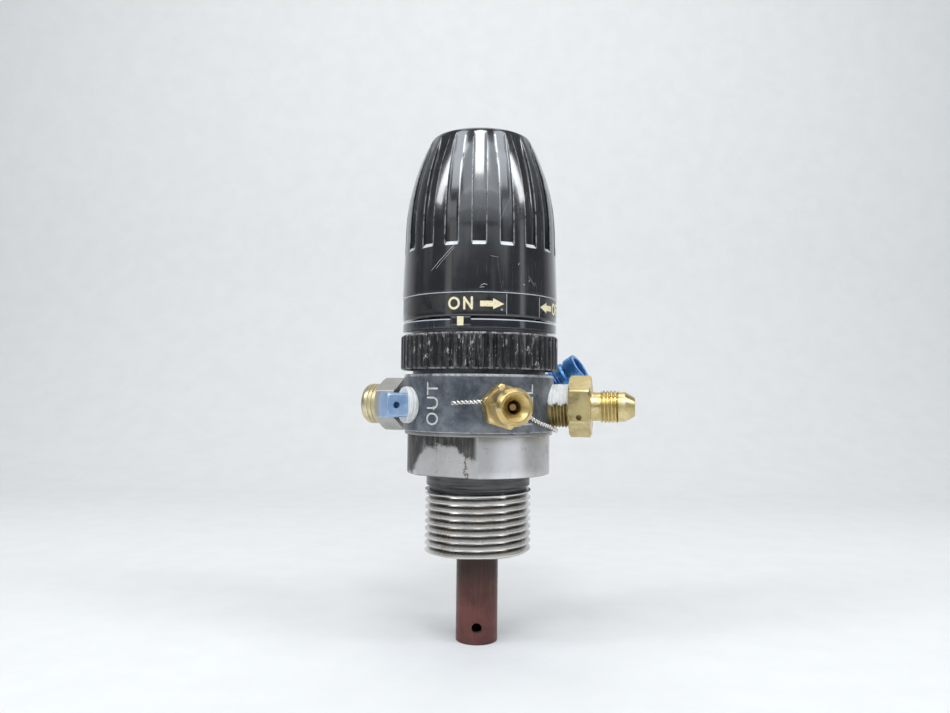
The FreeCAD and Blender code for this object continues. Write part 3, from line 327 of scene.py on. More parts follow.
def square_to(matrix, place, axis="Y"):
    """Place of a hole square to a fitting's axis."""
    return matrix @ Matrix.Translation(place) @ Matrix.Rotation(pi / 2, 4, axis)


def ribbon(rings, closed=False):
    """Band of four-sided rings, with faces at its ends unless it is closed."""
    verts, faces = sheet(rings + rings[:1] if closed else rings)
    n = len(verts)
    return verts, faces if closed else faces + [(3, 2, 1, 0), (n - 4, n - 3, n - 2, n - 1)]


def strokes(lines, width, radius, centre, base_z, turn=0.0, thick=0.02):
    """Flat pen strokes laid on a turned surface: lines of (x, y) points in millimetres.

    x runs along increasing azimuth and y up, both turned by an angle first. The radius is
    a number, or a function of height for a surface that tapers."""
    verts, faces = [], []
    half = width / 2
    c, s = cos(radians(turn)), sin(radians(turn))

    def wrap(p, lift):
        u, v = p.x * c - p.y * s, p.x * s + p.y * c
        r = radius(base_z + v) if callable(radius) else radius
        return polar(centre + degrees(u / r), r + lift, base_z + v)

    def tip(end, before):
        """Both corners of a blunt end."""
        way = (end - before).normalized()
        side = Vector((-way.y, way.x)) * half * 0.55
        return end + way * half * 0.8 + side, end + way * half * 0.8 - side

    for points in lines:
        points = spans(points, 0.4)
        closed = dist(points[0], points[-1]) < 1e-6
        pts = [Vector(p) for p in (points[:-1] if closed else points)]
        count = len(pts)
        left, right = [], []
        for i, p in enumerate(pts):
            d1 = (p - pts[i - 1]).normalized() if closed or i > 0 else None
            d2 = (pts[(i + 1) % count] - p).normalized() if closed or i < count - 1 else d1
            d1 = d2 if d1 is None else d1
            mean = (d1 + d2).normalized()
            normal = Vector((-mean.y, mean.x))
            reach = half / max(0.35, normal.dot(Vector((-d1.y, d1.x))))
            left.append(p + normal * reach)
            right.append(p - normal * reach)
        if not closed:
            b, a = tip(pts[0], pts[1])
            left.insert(0, a)
            right.insert(0, b)
            a, b = tip(pts[-1], pts[-2])
            left.append(a)
            right.append(b)
        band, sides = ribbon([[wrap(a, 0), wrap(a, thick), wrap(b, thick), wrap(b, 0)]
                              for a, b in zip(left, right)], closed)
        faces += [[len(verts) + i for i in side] for side in sides]
        verts += band
    return verts, faces


def patch(outline, radius, centre, base_z, thick=0.02):
    """Area between a lower and an upper line laid on a cylinder: rows of (x, low, high)."""
    fine = []
    for start, end in zip(outline, outline[1:]):
        count = max(1, int(abs(end[0] - start[0]) / 0.6))
        for k in range(count):
            fine.append([p + (q - p) * (k / count) for p, q in zip(start, end)])
    fine.append(outline[-1])
    rings = [[polar(centre + degrees(x / radius), r, base_z + y)
              for r, y in ((radius, low), (radius, high), (radius + thick, high), (radius + thick, low))]
             for x, low, high in fine]
    return ribbon(rings)


def arc_points(cx, cy, rx, ry, start, end, count):
    angles = [radians(start + (end - start) * k / count) for k in range(count + 1)]
    return [(cx + rx * cos(t), cy + ry * sin(t)) for t in angles]


# materials
class Nodes:
    """Short way to build one material's node tree."""

    def __init__(self, name):
        self.material = bpy.data.materials.new(name)
        self.material.use_nodes = True
        self.tree = self.material.node_tree
        self.coords = self.add("TexCoord").outputs["Object"]

    def put(self, socket, value):
        if isinstance(value, bpy.types.NodeSocket):
            self.tree.links.new(value, socket)
        elif socket.type == "RGBA" and len(value) == 3:
            socket.default_value = (*value, 1)
        else:
            socket.default_value = value

    def fill(self, node, values):
        """Named sockets and settings of a node."""
        for key, value in values.items():
            socket = key.replace("_", " ")
            if socket in node.inputs:
                self.put(node.inputs[socket], value)
            else:
                setattr(node, key, value)

    def add(self, kind, *first, **values):
        """Node of a kind: values of its first sockets, then its named sockets and settings."""
        node = self.tree.nodes.new("ShaderNode" + kind)
        self.fill(node, values)
        for socket, value in zip(node.inputs, first):
            self.put(socket, value)
        return node

    def finish(self, colour, roughness, relief=None, **values):
        """Values and links on the shader itself. relief is a height, a strength and a depth."""
        if relief:
            height, strength, depth = relief
            node = self.add("Bump", Height=height, Strength=strength, Distance=depth * MM)
            values["Normal"] = node.outputs["Normal"]
        self.fill(self.tree.nodes["Principled BSDF"], dict(values, Base_Color=colour, Roughness=roughness))
        return self.material

    def stretch(self, x, y, z, turn=0.0):
        node = self.add("Mapping", Vector=self.coords, Scale=(x, y, z), Rotation=(0, turn, 0))
        return node.outputs["Vector"]

    def noise(self, scale, detail=4.0, roughness=0.55, vector=None, distortion=0.0):
        node = self.add("TexNoise", Vector=vector or self.coords, Scale=scale, Detail=detail,
                        Roughness=roughness, Distortion=distortion)
        return node.outputs["Fac"]

    def spots(self, low, high, *noise):
        """Mask where a noise passes from low to high."""
        return self.span(self.noise(*noise), low, high)

    def scratches(self, scale, turn, width):
        """Mask of fine straight scratches at one angle."""
        node = self.add("TexVoronoi", feature="DISTANCE_TO_EDGE", Scale=scale,
                        Vector=self.stretch(1, 1, 0.06, turn))
        return self.span(node.outputs["Distance"], 0.0, width, 1.0, 0.0)

    def math(self, operation, a, b=0.0, clamp=False):
        return self.add("Math", a, b, operation=operation, use_clamp=clamp).outputs[0]

    def mul(self, first, *factors):
        for factor in factors:
            first = self.math("MULTIPLY", first, factor)
        return first

    def span(self, value, low, high, to_low=0.0, to_high=1.0):
        node = self.add("MapRange", value, low, high, to_low, to_high, interpolation_type="SMOOTHSTEP")
        return node.outputs["Result"]

    def along(self, place, low, high, to_low=0.0, to_high=1.0):
        """Span over a coordinate, its limits in millimetres."""
        return self.span(place, low * MM, high * MM, to_low, to_high)

    def blend(self, fac, a, b):
        node = self.add("Mix", fac, data_type="RGBA")
        self.put(node.inputs[6], a)
        self.put(node.inputs[7], b)
        return node.outputs[2]

    def layers(self, base, *coats):
        """Base under coats, each a mask, a strength and a colour."""
        for mask, strength, colour in coats:
            base = self.blend(self.mul(mask, strength), base, colour)
        return base

    def edges(self, low, high):
        """Mask of the convex edges, where a finish rubs off."""
        return self.span(self.add("NewGeometry").outputs["Pointiness"], low, high)

    def place(self):
        return self.add("SeparateXYZ", self.coords).outputs

    def upward(self):
        """How much a face looks up."""
        return self.add("SeparateXYZ", self.add("NewGeometry").outputs["Normal"]).outputs["Z"]


def gloss_black(name, colour=(0.006, 0.0065, 0.008), rough=0.12, dust=0.35, rub=0.0, streaks=0.0,
                line=None, feet=False):
    """Black moulded plastic under a clear shine, with fine scratches, haze and rubbed edges.

    line is a painted highlight along a rim edge: its level and half width in millimetres and its
    strength. feet paints a highlight on the upward faces of the flutes' feet."""
    m = Nodes(name)
    x, y, z = m.place()
    haze = m.noise(90, 6, 0.6)
    marks = m.math("MAXIMUM", m.mul(m.scratches(260, 0.7, 0.012), m.spots(0.5, 0.68, 45)),
                   m.mul(m.scratches(340, -0.5, 0.01), m.spots(0.52, 0.7, 60, 3)))
    dusty = m.mul(m.spots(0.68, 0.76, 2600, 2, 0.7), m.spots(0.35, 0.75, 120, 3))
    edge = m.mul(m.edges(0.508, 0.56), m.spots(0.3, 0.6, 420, 4, 0.7), m.along(z, 45.8, 46.4))
    worn = m.spots(0.5, 0.8, 330, 3, 0.6, m.stretch(1, 1, 0.05))
    base = m.blend(m.span(haze, 0.3, 0.75), colour, tuple(c * 1.9 for c in colour))
    base = m.layers(base, (worn, streaks, (0.075, 0.077, 0.082)), (marks, 0.35, (0.22, 0.22, 0.23)),
                    (edge, rub, (0.5, 0.53, 0.57)), (dusty, dust, (0.42, 0.4, 0.36)))
    # Painted highlight: a pale line at one level stands in for light caught on a rim edge.
    if line:
        height, half, strength = line
        away = m.math("ABSOLUTE", m.math("SUBTRACT", z, height * MM))
        rim = m.along(away, half * 0.5, half, strength, 0.0)
        base = m.layers(base, (rim, m.spots(0.05, 0.4, 260, 4), (0.66, 0.7, 0.76)))
    # Painted highlight: the flutes' feet turn pale where they face up, as if lit from above.
    if feet:
        low = m.mul(m.along(z, FLUTE_LOW - 0.6, FLUTE_LOW - 0.4),
                    m.along(z, FLUTE_LOW + 1.6, FLUTE_LOW + 1.3))
        painted_light_shelf = m.mul(m.span(m.upward(), 0.35, 0.55), low)
        patchy_highlight = m.span(m.noise(700, 3), 0.15, 0.45, 0.7, 1.0)
        base = m.layers(base, (painted_light_shelf, patchy_highlight, (0.8, 0.82, 0.85)))
    roughness = m.math("ADD", m.span(haze, 0.25, 0.8, rough, rough + 0.14), m.mul(marks, 0.3))
    roughness = m.math("ADD", roughness, m.mul(edge, 0.2), clamp=True)
    height = m.math("SUBTRACT", m.mul(m.noise(1400, 3, 0.6), 0.35), marks)
    return m.finish(base, roughness, (height, 0.1, 0.04), IOR=1.6, Specular_IOR_Level=0.75, Coat_Weight=0.7,
                    Coat_Roughness=0.08, Coat_IOR=1.6)


def matt_black(name):
    """Knurled collar: worn black finish, streaked pale partly by dust and partly by painted highlight, with chipped
    pale crests and rims.
    """
    m = Nodes(name)
    x, y, z = m.place()
    grain = m.noise(1500, 5, 0.65)
    edge = m.mul(m.edges(0.505, 0.6), m.spots(0.4, 0.6, 900, 5, 0.7))
    chips = m.mul(m.spots(0.57, 0.63, 620, 5, 0.8, m.stretch(1, 1, 0.4)), m.spots(0.36, 0.56, 140, 3))
    # Pale vertical streaks: partly dust, partly a painted highlight along the teeth.
    dust_and_highlight_streak = m.spots(0.52, 0.72, 480, 4, 0.7, m.stretch(1, 1, 0.12))
    rim = m.math("MAXIMUM", m.along(z, COLLAR_TOP - 0.7, COLLAR_TOP - 0.1),
                 m.along(z, COLLAR_LOW + 0.1, COLLAR_LOW + 0.6, 0.8, 0.0))
    rim = m.mul(rim, m.spots(0.44, 0.58, 800, 5, 0.75))
    base = m.blend(m.spots(0.3, 0.75, 160, 5, 0.6), (0.007, 0.007, 0.008), (0.02, 0.0195, 0.02))
    base = m.layers(base, (dust_and_highlight_streak, 0.45, (0.24, 0.24, 0.25)), (edge, 0.55, (0.24, 0.235, 0.23)),
                    (chips, 0.9, (0.58, 0.56, 0.52)), (rim, 0.8, (0.52, 0.52, 0.52)))
    return m.finish(base, m.span(grain, 0.3, 0.7, 0.26, 0.5), (grain, 0.3, 0.08), Specular_IOR_Level=0.45)


def anodised(name):
    """Dark blue-grey anodised aluminium, rubbed bare along its top and bottom edges."""
    m = Nodes(name)
    x, y, z = m.place()
    spots = m.noise(420, 6, 0.7)
    top = m.mul(m.along(z, BODY_TOP - 0.95, BODY_TOP - 0.45), m.along(z, BODY_TOP + 0.1, BODY_TOP + 0.04))
    foot = m.along(z, BODY_LOW + 0.12, BODY_LOW + 0.42, 1.0, 0.0)
    bare = m.mul(m.math("MAXIMUM", top, m.mul(foot, 0.45)), m.spots(0.34, 0.55, 320, 5, 0.7))
    pale = m.mul(m.spots(0.66, 0.76, 1100, 4, 0.75), m.spots(0.42, 0.68, 50, 3))
    smear = m.mul(m.along(z, 16.5, 13.0), m.spots(0.42, 0.7, 150, 5, 0.65))
    cloud = m.spots(0.34, 0.66, 130, 6, 0.7, None, 0.15)
    base = m.layers(m.blend(cloud, (0.075, 0.086, 0.108), (0.21, 0.228, 0.255)),
                    (m.span(spots, 0.48, 0.72), 0.55, (0.24, 0.25, 0.28)), (smear, 0.6, (0.34, 0.345, 0.36)),
                    (pale, 0.7, (0.48, 0.48, 0.48)), (bare, 1.0, (0.82, 0.82, 0.82)))
    return m.finish(base, m.span(spots, 0.3, 0.75, 0.26, 0.44), (spots, 0.12, 0.05),
                    Metallic=m.math("ADD", m.mul(bare, 0.3), 0.6), Specular_IOR_Level=0.75)


def bare_metal(name, colour, stain=(0.1, 0.085, 0.07), rough=0.3, stained=0.6):
    """Machined bare metal with tool marks, dull stains and dark grime."""
    m = Nodes(name)
    fine = m.noise(900, 4, 0.65, m.stretch(0.4, 0.4, 2.4))
    cloud = m.noise(110, 6, 0.65)
    grime = m.mul(m.spots(0.55, 0.72, 170, 7, 0.72, None, 0.4), m.spots(0.38, 0.62, 55, 3))
    base = m.layers(m.blend(m.span(cloud, 0.3, 0.72), colour, tuple(c * 0.72 for c in colour)),
                    (fine, 0.25, tuple(c * 1.25 for c in colour)), (grime, stained, stain),
                    (m.spots(0.7, 0.78, 2200, 3, 0.7), 0.4, (0.08, 0.075, 0.07)))
    roughness = m.span(cloud, 0.3, 0.75, rough - 0.06, rough + 0.14)
    return m.finish(base, m.math("ADD", roughness, m.mul(grime, 0.3), clamp=True), (fine, 0.16, 0.05),
                    Metallic=m.span(grime, 0.2, 1.0, 1.0, 0.45))


def wrench_metal(name):
    """Bare stem: an arched dark smear and a brown crack on the front flat, a painted highlight beside
    them, a turned neck painted dark as shade and dark reflection, and painted shade in the thread's grooves."""
    m = Nodes(name)
    x, y, z = m.place()
    fine = m.noise(900, 4, 0.65, m.stretch(0.5, 0.5, 2.2))
    cloud = m.noise(95, 6, 0.65)
    streaks = m.noise(230, 6, 0.7, m.stretch(1, 1, 0.55), 0.6)
    ragged = m.mul(m.math("SUBTRACT", m.noise(190, 7, 0.72, None, 0.4), 0.5), 0.01)
    height = z
    for rise in (ragged, m.along(x, -15.0, -19.5, 0.0, 7.5 * MM), m.along(x, -6.5, -3.0, 0.0, 3.0 * MM)):
        height = m.math("ADD", height, rise)
    smear = m.mul(m.along(x, 0.0, -1.6), m.along(height, 7.2, 9.2), m.span(streaks, 0.14, 0.4),
                  m.span(m.noise(420, 4, 0.7, m.stretch(2.2, 2.2, 0.22)), 0.2, 0.55, 0.62, 1.0),
                  m.along(y, -1.0, -8.0, 0.25, 1.0))
    dark = m.math("MAXIMUM", smear, m.mul(m.span(streaks, 0.56, 0.7), m.spots(0.42, 0.62, 60, 2), 0.7))
    front = m.along(y, -15.0, -18.0)
    bend = m.mul(m.math("SUBTRACT", m.noise(200, 5, 0.7), 0.5), 0.0085)
    beside = m.math("ABSOLUTE", m.math("ADD", x, m.math("ADD", 0.0034, bend)))
    crack = m.mul(m.along(beside, 0.12, 0.4, 1.0, 0.0), front, m.along(z, 7.2, 6.0))
    # Painted highlight: a near-white glare patch on the front beside the flat.
    shine = m.mul(m.along(m.math("ABSOLUTE", m.math("SUBTRACT", x, 8.6 * MM)), 6.5, 1.5), front,
                  m.span(cloud, 0.25, 0.6))
    # Painted shade and painted dark reflection: the bare turned neck is coloured near black with grey streaks.
    neck = m.mul(m.along(z, 0.4, -0.2), m.along(z, -5.2, -4.6))
    painted_neck_shade = m.blend(m.spots(0.35, 0.68, 600, 3, 0.6, m.stretch(0.12, 0.12, 2.4)),
                          (0.01, 0.01, 0.012), (0.085, 0.085, 0.088))
    reach = m.math("SQRT", m.math("ADD", m.mul(x, x), m.mul(y, y)))
    # Painted shade: the thread's grooves below the undercut are coloured dark brown.
    painted_groove_shade = m.mul(m.along(reach, 14.65, 15.3, 1.0, 0.0), m.along(z, -4.9, -5.3))
    warm = m.mul(m.along(z, -5.0, -5.6), m.spots(0.4, 0.7, 130, 4, 0.6))
    base = m.layers(m.blend(m.span(cloud, 0.3, 0.72), (0.66, 0.65, 0.64), (0.5, 0.49, 0.48)),
                    (fine, 0.3, (0.8, 0.79, 0.78)), (shine, 0.75, (0.98, 0.98, 1.0)),
                    (dark, 0.94, (0.034, 0.031, 0.03)), (crack, 0.85, (0.12, 0.07, 0.045)),
                    (neck, 0.93, painted_neck_shade), (warm, 0.35, (0.62, 0.54, 0.45)),
                    (painted_groove_shade, 0.72, (0.13, 0.112, 0.088)))
    roughness = m.math("ADD", m.span(cloud, 0.3, 0.75, 0.27, 0.42), m.mul(dark, 0.2))
    roughness = m.math("SUBTRACT", roughness, m.along(z, -4.9, -5.3, 0.0, 0.1), clamp=True)
    metallic = m.mul(m.span(dark, 0.2, 1.0, 1.0, 0.5), m.span(neck, 0.3, 1.0, 1.0, 0.8))
    return m.finish(base, roughness, (fine, 0.18, 0.06), Metallic=metallic)


def brass(name, colour, dull, green=0.0, rough=0.27):
    """Aged brass: golden with olive tarnish, brighter on rubbed edges."""
    m = Nodes(name)
    tarnish = m.spots(0.4, 0.66, 230, 5, 0.68, None, 0.3)
    edge = m.mul(m.edges(0.52, 0.6), m.spots(0.35, 0.6, 400, 4, 0.7))
    deep = tuple(c * share for c, share in zip(colour, (0.74, 0.72, 0.62)))
    base = m.layers(m.blend(m.spots(0.3, 0.75, 140, 6, 0.65), colour, deep),
                    (tarnish, dull, (0.44, 0.365, 0.165)), (edge, 0.6, (0.92, 0.78, 0.5)),
                    (m.spots(0.55, 0.68, 300, 5, 0.7), green, (0.35, 0.52, 0.36)))
    return m.finish(base, m.span(tarnish, 0.0, 1.0, rough, rough + 0.2), (m.noise(1000, 4, 0.6), 0.14, 0.05),
                    Metallic=m.span(tarnish, 0.0, 1.0, 1.0, 0.82))


def blue_metal(name, deep, pale, rough):
    """Blue anodised aluminium fitting, rubbed pale on its edges."""
    m = Nodes(name)
    cloud = m.noise(260, 5, 0.65)
    bare = (0.7, 0.74, 0.8)
    edge = m.mul(m.edges(0.515, 0.585), m.spots(0.36, 0.6, 700, 4, 0.7))
    base = m.layers(m.blend(m.span(cloud, 0.3, 0.75), deep, pale), (edge, 0.9, bare),
                    (m.spots(0.66, 0.74, 1500, 3, 0.75), 0.4, bare))
    return m.finish(base, m.span(cloud, 0.3, 0.8, rough, rough + 0.14), (m.noise(1300, 4, 0.6), 0.16, 0.04),
                    Metallic=0.62)


def tape_white(name):
    """Sealing tape: dull white film with ragged fibres and a little dirt."""
    m = Nodes(name)
    fibres = m.noise(900, 6, 0.75, None, 1.2)
    base = m.layers(m.blend(m.span(fibres, 0.3, 0.75), (0.86, 0.86, 0.84), (0.7, 0.71, 0.69)),
                    (m.spots(0.5, 0.72, 300, 5, 0.7), 0.4, (0.42, 0.41, 0.33)))
    return m.finish(base, m.span(fibres, 0.2, 0.8, 0.42, 0.65), (fibres, 0.5, 0.15), Subsurface_Weight=0.08,
                    Subsurface_Radius=(0.0006, 0.0006, 0.0006))


def brown_tube(name):
    """Brown tube with drawn lines, darker towards its top."""
    m = Nodes(name)
    x, y, z = m.place()
    lines = m.noise(700, 4, 0.65, m.stretch(2.6, 2.6, 0.1))
    fall = m.along(z, -26.0, -42.0)
    light = m.blend(fall, (0.058, 0.038, 0.033), (0.19, 0.076, 0.066))
    deep = m.blend(fall, (0.036, 0.027, 0.025), (0.105, 0.048, 0.044))
    base = m.layers(m.blend(m.spots(0.3, 0.75, 120, 4, 0.6), light, deep),
                    (m.span(lines, 0.5, 0.75), 0.3, (0.2, 0.115, 0.1)))
    return m.finish(base, m.span(m.noise(1200, 5, 0.6), 0.3, 0.75, 0.32, 0.46), (lines, 0.14, 0.05),
                    Metallic=0.8)


def paint(name, colour, dirt, rough=0.5):
    m = Nodes(name)
    grain = m.noise(1500, 5, 0.75)
    return m.finish(m.blend(m.span(grain, 0.48, 0.72), colour, dirt),
                    m.span(grain, 0.3, 0.7, rough, rough + 0.2), (grain, 0.3, 0.04))


def rubber(name):
    m = Nodes(name)
    grain = m.noise(1800, 5, 0.6)
    base = m.blend(m.span(grain, 0.3, 0.75), (0.016, 0.016, 0.017), (0.035, 0.034, 0.034))
    return m.finish(base, m.span(grain, 0.3, 0.75, 0.55, 0.75), (grain, 0.3, 0.05))


def wire_metal(name):
    m = Nodes(name)
    grain = m.noise(1600, 5, 0.65)
    base = m.layers(m.blend(m.span(grain, 0.3, 0.75), (0.86, 0.84, 0.8), (0.7, 0.68, 0.64)),
                    (m.spots(0.5, 0.7, 420, 4, 0.7), 0.5, (0.3, 0.27, 0.22)))
    return m.finish(base, m.span(grain, 0.3, 0.75, 0.2, 0.34), (grain, 0.2, 0.03), Metallic=1.0)


# The knob's line is a painted highlight at the band's top step, and its feet carry a painted highlight; the ring's
# line is a painted highlight on its top edge.
KNOB = gloss_black("knob_gloss", rub=0.65, streaks=0.6, line=(BAND_TOP + 0.04, 0.13, 0.9), feet=True)
RING = gloss_black("ring_gloss", (0.008, 0.01, 0.015), 0.1, 0.2, line=(RING_TOP - 0.1, 0.3, 0.85))
TAB_BLACK = gloss_black("tab_gloss", (0.006, 0.007, 0.009), 0.1, 0.1)
LABEL = gloss_black("label_film", (0.006, 0.006, 0.007), 0.16, 0.06)
COLLAR = matt_black("collar_worn")
BODY = anodised("body_anodised")
STEM = wrench_metal("stem_bare")
# Bare metal darkened as painted shade: the washer sits in shade under the band's overhang.
SHADED_SILVER = bare_metal("washer_bare_shaded", (0.4, 0.395, 0.39))
BRASS = brass("outlet_brass", (0.8, 0.665, 0.36), 0.5)
OLIVE = brass("pipe_thread_olive", (0.3, 0.235, 0.095), 0.85, 0.0, 0.38)
FILL_BRASS = brass("fill_brass", (0.76, 0.57, 0.25), 0.35, 0.35)
CAP_BRASS = brass("cap_brass", (0.76, 0.67, 0.47), 0.3, 0.0, 0.36)
PALE = bare_metal("relief_pale", (0.5, 0.495, 0.47), (0.22, 0.21, 0.19), 0.46, 0.45)
LIGHT_BLUE = blue_metal("plug_blue", (0.25, 0.4, 0.66), (0.42, 0.56, 0.8), 0.34)
DEEP_BLUE = blue_metal("nipple_blue", (0.04, 0.19, 0.54), (0.13, 0.36, 0.72), 0.2)
TAPE = tape_white("sealing_tape")
TUBE = brown_tube("tube_brown")
CREAM = paint("mark_cream", (0.86, 0.76, 0.5), (0.5, 0.44, 0.3))
WORN = paint("worn_pale", (0.62, 0.62, 0.62), (0.34, 0.34, 0.35), 0.4)
ENGRAVED = paint("engraved_pale", (0.6, 0.6, 0.58), (0.22, 0.22, 0.23), 0.45)
RUBBER = rubber("seal_rubber")
WIRE = wire_metal("lock_wire")
STEEL = bare_metal("inner_steel", (0.55, 0.55, 0.56), (0.15, 0.14, 0.13), 0.28, 0.3)
DARK_STEEL = bare_metal("spring_dark", (0.2, 0.2, 0.21), (0.06, 0.05, 0.045), 0.34, 0.4)
BRONZE = brass("filter_bronze", (0.48, 0.3, 0.15), 0.6, 0.0, 0.5)

CAD_FINISH = {
    "knob_black": KNOB, "ring_black": RING, "collar_black": COLLAR, "body_anodised": BODY,
    "bare_metal": SHADED_SILVER, "tube_brown": TUBE, "brass": BRASS, "bronze": BRONZE, "steel": STEEL,
    "dark_steel": DARK_STEEL, "rubber": RUBBER, "tape": TAPE, "plug_blue": LIGHT_BLUE,
    "elbow_blue": DEEP_BLUE, "relief_grey": PALE,
}


# stem, tube, washer
def wrench_limit(t):
    """Radius left by the two wrench flats."""
    c = abs(cos(radians(degrees(t) + 90 - FLAT_TURN)))
    return 99.0 if c < 0.2 else WRENCH_FLAT / c


def stem_angles():
    """Even angles, with the flats' edges exactly on them."""
    half = degrees(acos(WRENCH_FLAT / WRENCH_RADIUS))
    out = set()
    for centre in (-90 + FLAT_TURN, 90 + FLAT_TURN):
        for edge in (centre - half, centre + half):
            out |= {round(edge + d, 4) for d in (-0.9, -0.3, 0.0, 0.3, 0.9)}
        for start, width, count in ((centre - half, 2 * half, 24), (centre + half, 180 - 2 * half, 60)):
            out |= {round(start + 1.5 + k * (width - 3) / count, 4) for k in range(count + 1)}
    return [radians(a) for a in sorted(a % 360 for a in out)]


stem_profile = [(14.3, -5.6), (14.3, -3.65), (15.5, -3.65), (15.5, 0.0), (WRENCH_RADIUS, 0.0),
                (WRENCH_RADIUS, 11.5), (11.5, 11.5), (11.5, 16.4), (6.0, 16.4), (6.0, 3.0), (2.5, 3.0)]
stem_shells = [lathe(spans(soften(stem_profile, 0.35), 1.6), stem_angles(), wrench_limit),
               thread(15.8, 1.25, 2.117, STEM_FOOT, THREAD_TOP, 160, 12, 0.13, 0.03, 4),
               lathe([(2.5, 3.0), (2.5, -13.9), (5.0, -13.9), (5.0, STEM_FOOT), (14.7, STEM_FOOT)])]
piece("threaded_stem", stem_shells, STEM, ["cylinder_stem"], angle=24)

tube_profile = [(2.5, -14.05), (4.9, -14.05), (4.9, STEM_FOOT), (6.2, STEM_FOOT), (6.2, TUBE_FOOT),
                (4.4, TUBE_FOOT), (4.4, -26.6), (2.5, -24.9), (2.5, -14.05)]
tube_hole = (rod(1.5, -8, 8, 40), square_to(Matrix(), (0, 0, TUBE_FOOT + 4.9), "X"))
piece("brown_tube", [turned(tube_profile, 0.3, 2.0)], TUBE, ["debris_tube"],
      cutters=[tube_hole])

washer_profile = [(11.6, 11.5), (22.2, 11.5), (22.2, 12.5), (11.6, 12.5), (11.6, 11.5)]
# The washer's darkened bare metal is painted shade.
piece("bare_washer", [turned(washer_profile, 0.12, thetas=128)], SHADED_SILVER, ["spacer_washer"])

# port body, collar, index ring
band_profile = [(6.0, 23.2), (6.0, 16.6), (11.6, 16.6), (11.6, BODY_LOW), (BODY_RADIUS, BODY_LOW),
                (BODY_RADIUS, BODY_TOP), (20.0, BODY_TOP), (20.0, 35.0), (15.0, 35.0), (15.0, 27.2),
                (7.45, 27.2), (7.45, 23.2), (6.0, 23.2)]
ports = [(rod(radius, 15.5, 24.0), port_matrix(azimuth))
         for radius, azimuth in ((6.6, OUTLET), (5.3, ELBOW), (5.3, PLUG), (5.0, FILL), (5.0, RELIEF))]
piece("port_band", [turned(band_profile, 0.32, thetas=192)], BODY, ["port_body"],
      cutters=ports, angle=30)


def tooth_shell():
    """Knurled collar: straight teeth with worn, uneven crests."""
    rng = random.Random(11)
    pitch = 2 * pi / 60
    columns = []
    for i in range(60):
        crest = COLLAR_RADIUS - rng.uniform(0.0, 0.07)
        root = COLLAR_RADIUS - 0.7
        lean = rng.uniform(-0.02, 0.02)
        for share, r in ((0.02, crest - 0.1), (0.07, crest), (0.25, crest), (0.43, crest),
                         (0.49, crest - 0.1), (0.61, root + 0.08), (0.66, root), (0.84, root), (0.89, root + 0.08)):
            columns.append(((i + share + lean) * pitch, r))
    low, high = COLLAR_LOW, COLLAR_TOP
    levels = [(18.7, low), (22.2, low), (COLLAR_RADIUS - 0.5, low), (COLLAR_RADIUS - 0.2, low + 0.25)]
    levels += [(COLLAR_RADIUS, low + 0.55 + k * 9.05 / 8) for k in range(9)]
    levels += [(COLLAR_RADIUS - 0.2, high - 0.25), (COLLAR_RADIUS - 0.5, high), (22.2, high),
               (RING_BORE, high)]
    rows = [[(min(limit, r) * cos(t), min(limit, r) * sin(t), z) for t, r in columns] for limit, z in levels]
    inner = [(RING_BORE, high), (RING_BORE, 38.0), (20.1, 38.0), (20.1, low), (22.2, low)]
    return [sheet(rows), lathe(inner)]


piece("knurled_collar", tooth_shell(), COLLAR, ["clamp_collar"], angle=26)

ring_profile = [(RING_BORE, RING_LOW), (BAND_RADIUS, RING_LOW), (BAND_RADIUS, RING_TOP),
                (RING_BORE, RING_TOP), (RING_BORE, RING_LOW)]


def curved_block(centre, width, low, high, inner, outer, edge):
    """Block bent round the axis, with rounded edges, as shells."""
    def steps(start, end, count):
        middle = [start + edge + (end - start - 2 * edge) * k / count for k in range(1, count)]
        return [start, start + 0.3 * edge, start + edge] + middle + [end - edge, end - 0.3 * edge, end]

    def inset(v, a, b):
        near = min(v - a, b - v)
        return 0.0 if near >= edge else edge - sqrt(max(0.0, edge ** 2 - (edge - near) ** 2))

    half = width / 2
    xs, ys = steps(-half, half, 16), steps(low, high, 4)
    verts = [polar(centre + degrees(x / outer), outer - max(inset(x, -half, half), inset(y, low, high)), y)
             for y in ys for x in xs]
    wide, tall = len(xs), len(ys)
    faces = [(a, a + 1, a + 1 + wide, a + wide)
             for j in range(tall - 1) for a in range(j * wide, (j + 1) * wide - 1)]
    rim = list(range(wide)) + [j * wide + wide - 1 for j in range(1, tall)]
    rim += [(tall - 1) * wide + i for i in range(wide - 2, -1, -1)]
    rim += [j * wide for j in range(tall - 2, 0, -1)]
    base, n = len(verts), len(rim)
    for i in rim:
        x, y, z = verts[i]
        r = hypot(x, y)
        verts.append((x * inner / r, y * inner / r, z))
    faces += [(rim[k], base + k, base + (k + 1) % n, rim[(k + 1) % n]) for k in range(n)]
    return verts, faces


piece("index_ring_turned", [turned(ring_profile, 0.3, 1.5, 192)], RING, ["index_ring"])
piece("index_tab", [curved_block(TAB, 6.0, 42.1, 44.72, 21.4, SKIRT_RADIUS, 0.22)], TAB_BLACK)
mark = patch([(-0.9, 0, 2.5), (0.9, 0, 2.5)], SKIRT_RADIUS - 0.005, TAB, 42.16, 0.035)
piece("index_mark", [mark], CREAM)


# knob
def crown_radius(z, inset=0.0):
    return SHOULDER_RADIUS - CROWN_ARC + sqrt((CROWN_ARC - inset) ** 2 - (z - SHOULDER_Z) ** 2)


RIM_Z = KNOB_TOP - CROWN_EDGE
RIM_R = crown_radius(RIM_Z)
RIM_CENTRE = crown_radius(RIM_Z, CROWN_EDGE)
RIM_START = asin((RIM_Z - SHOULDER_Z) / (CROWN_ARC - CROWN_EDGE))


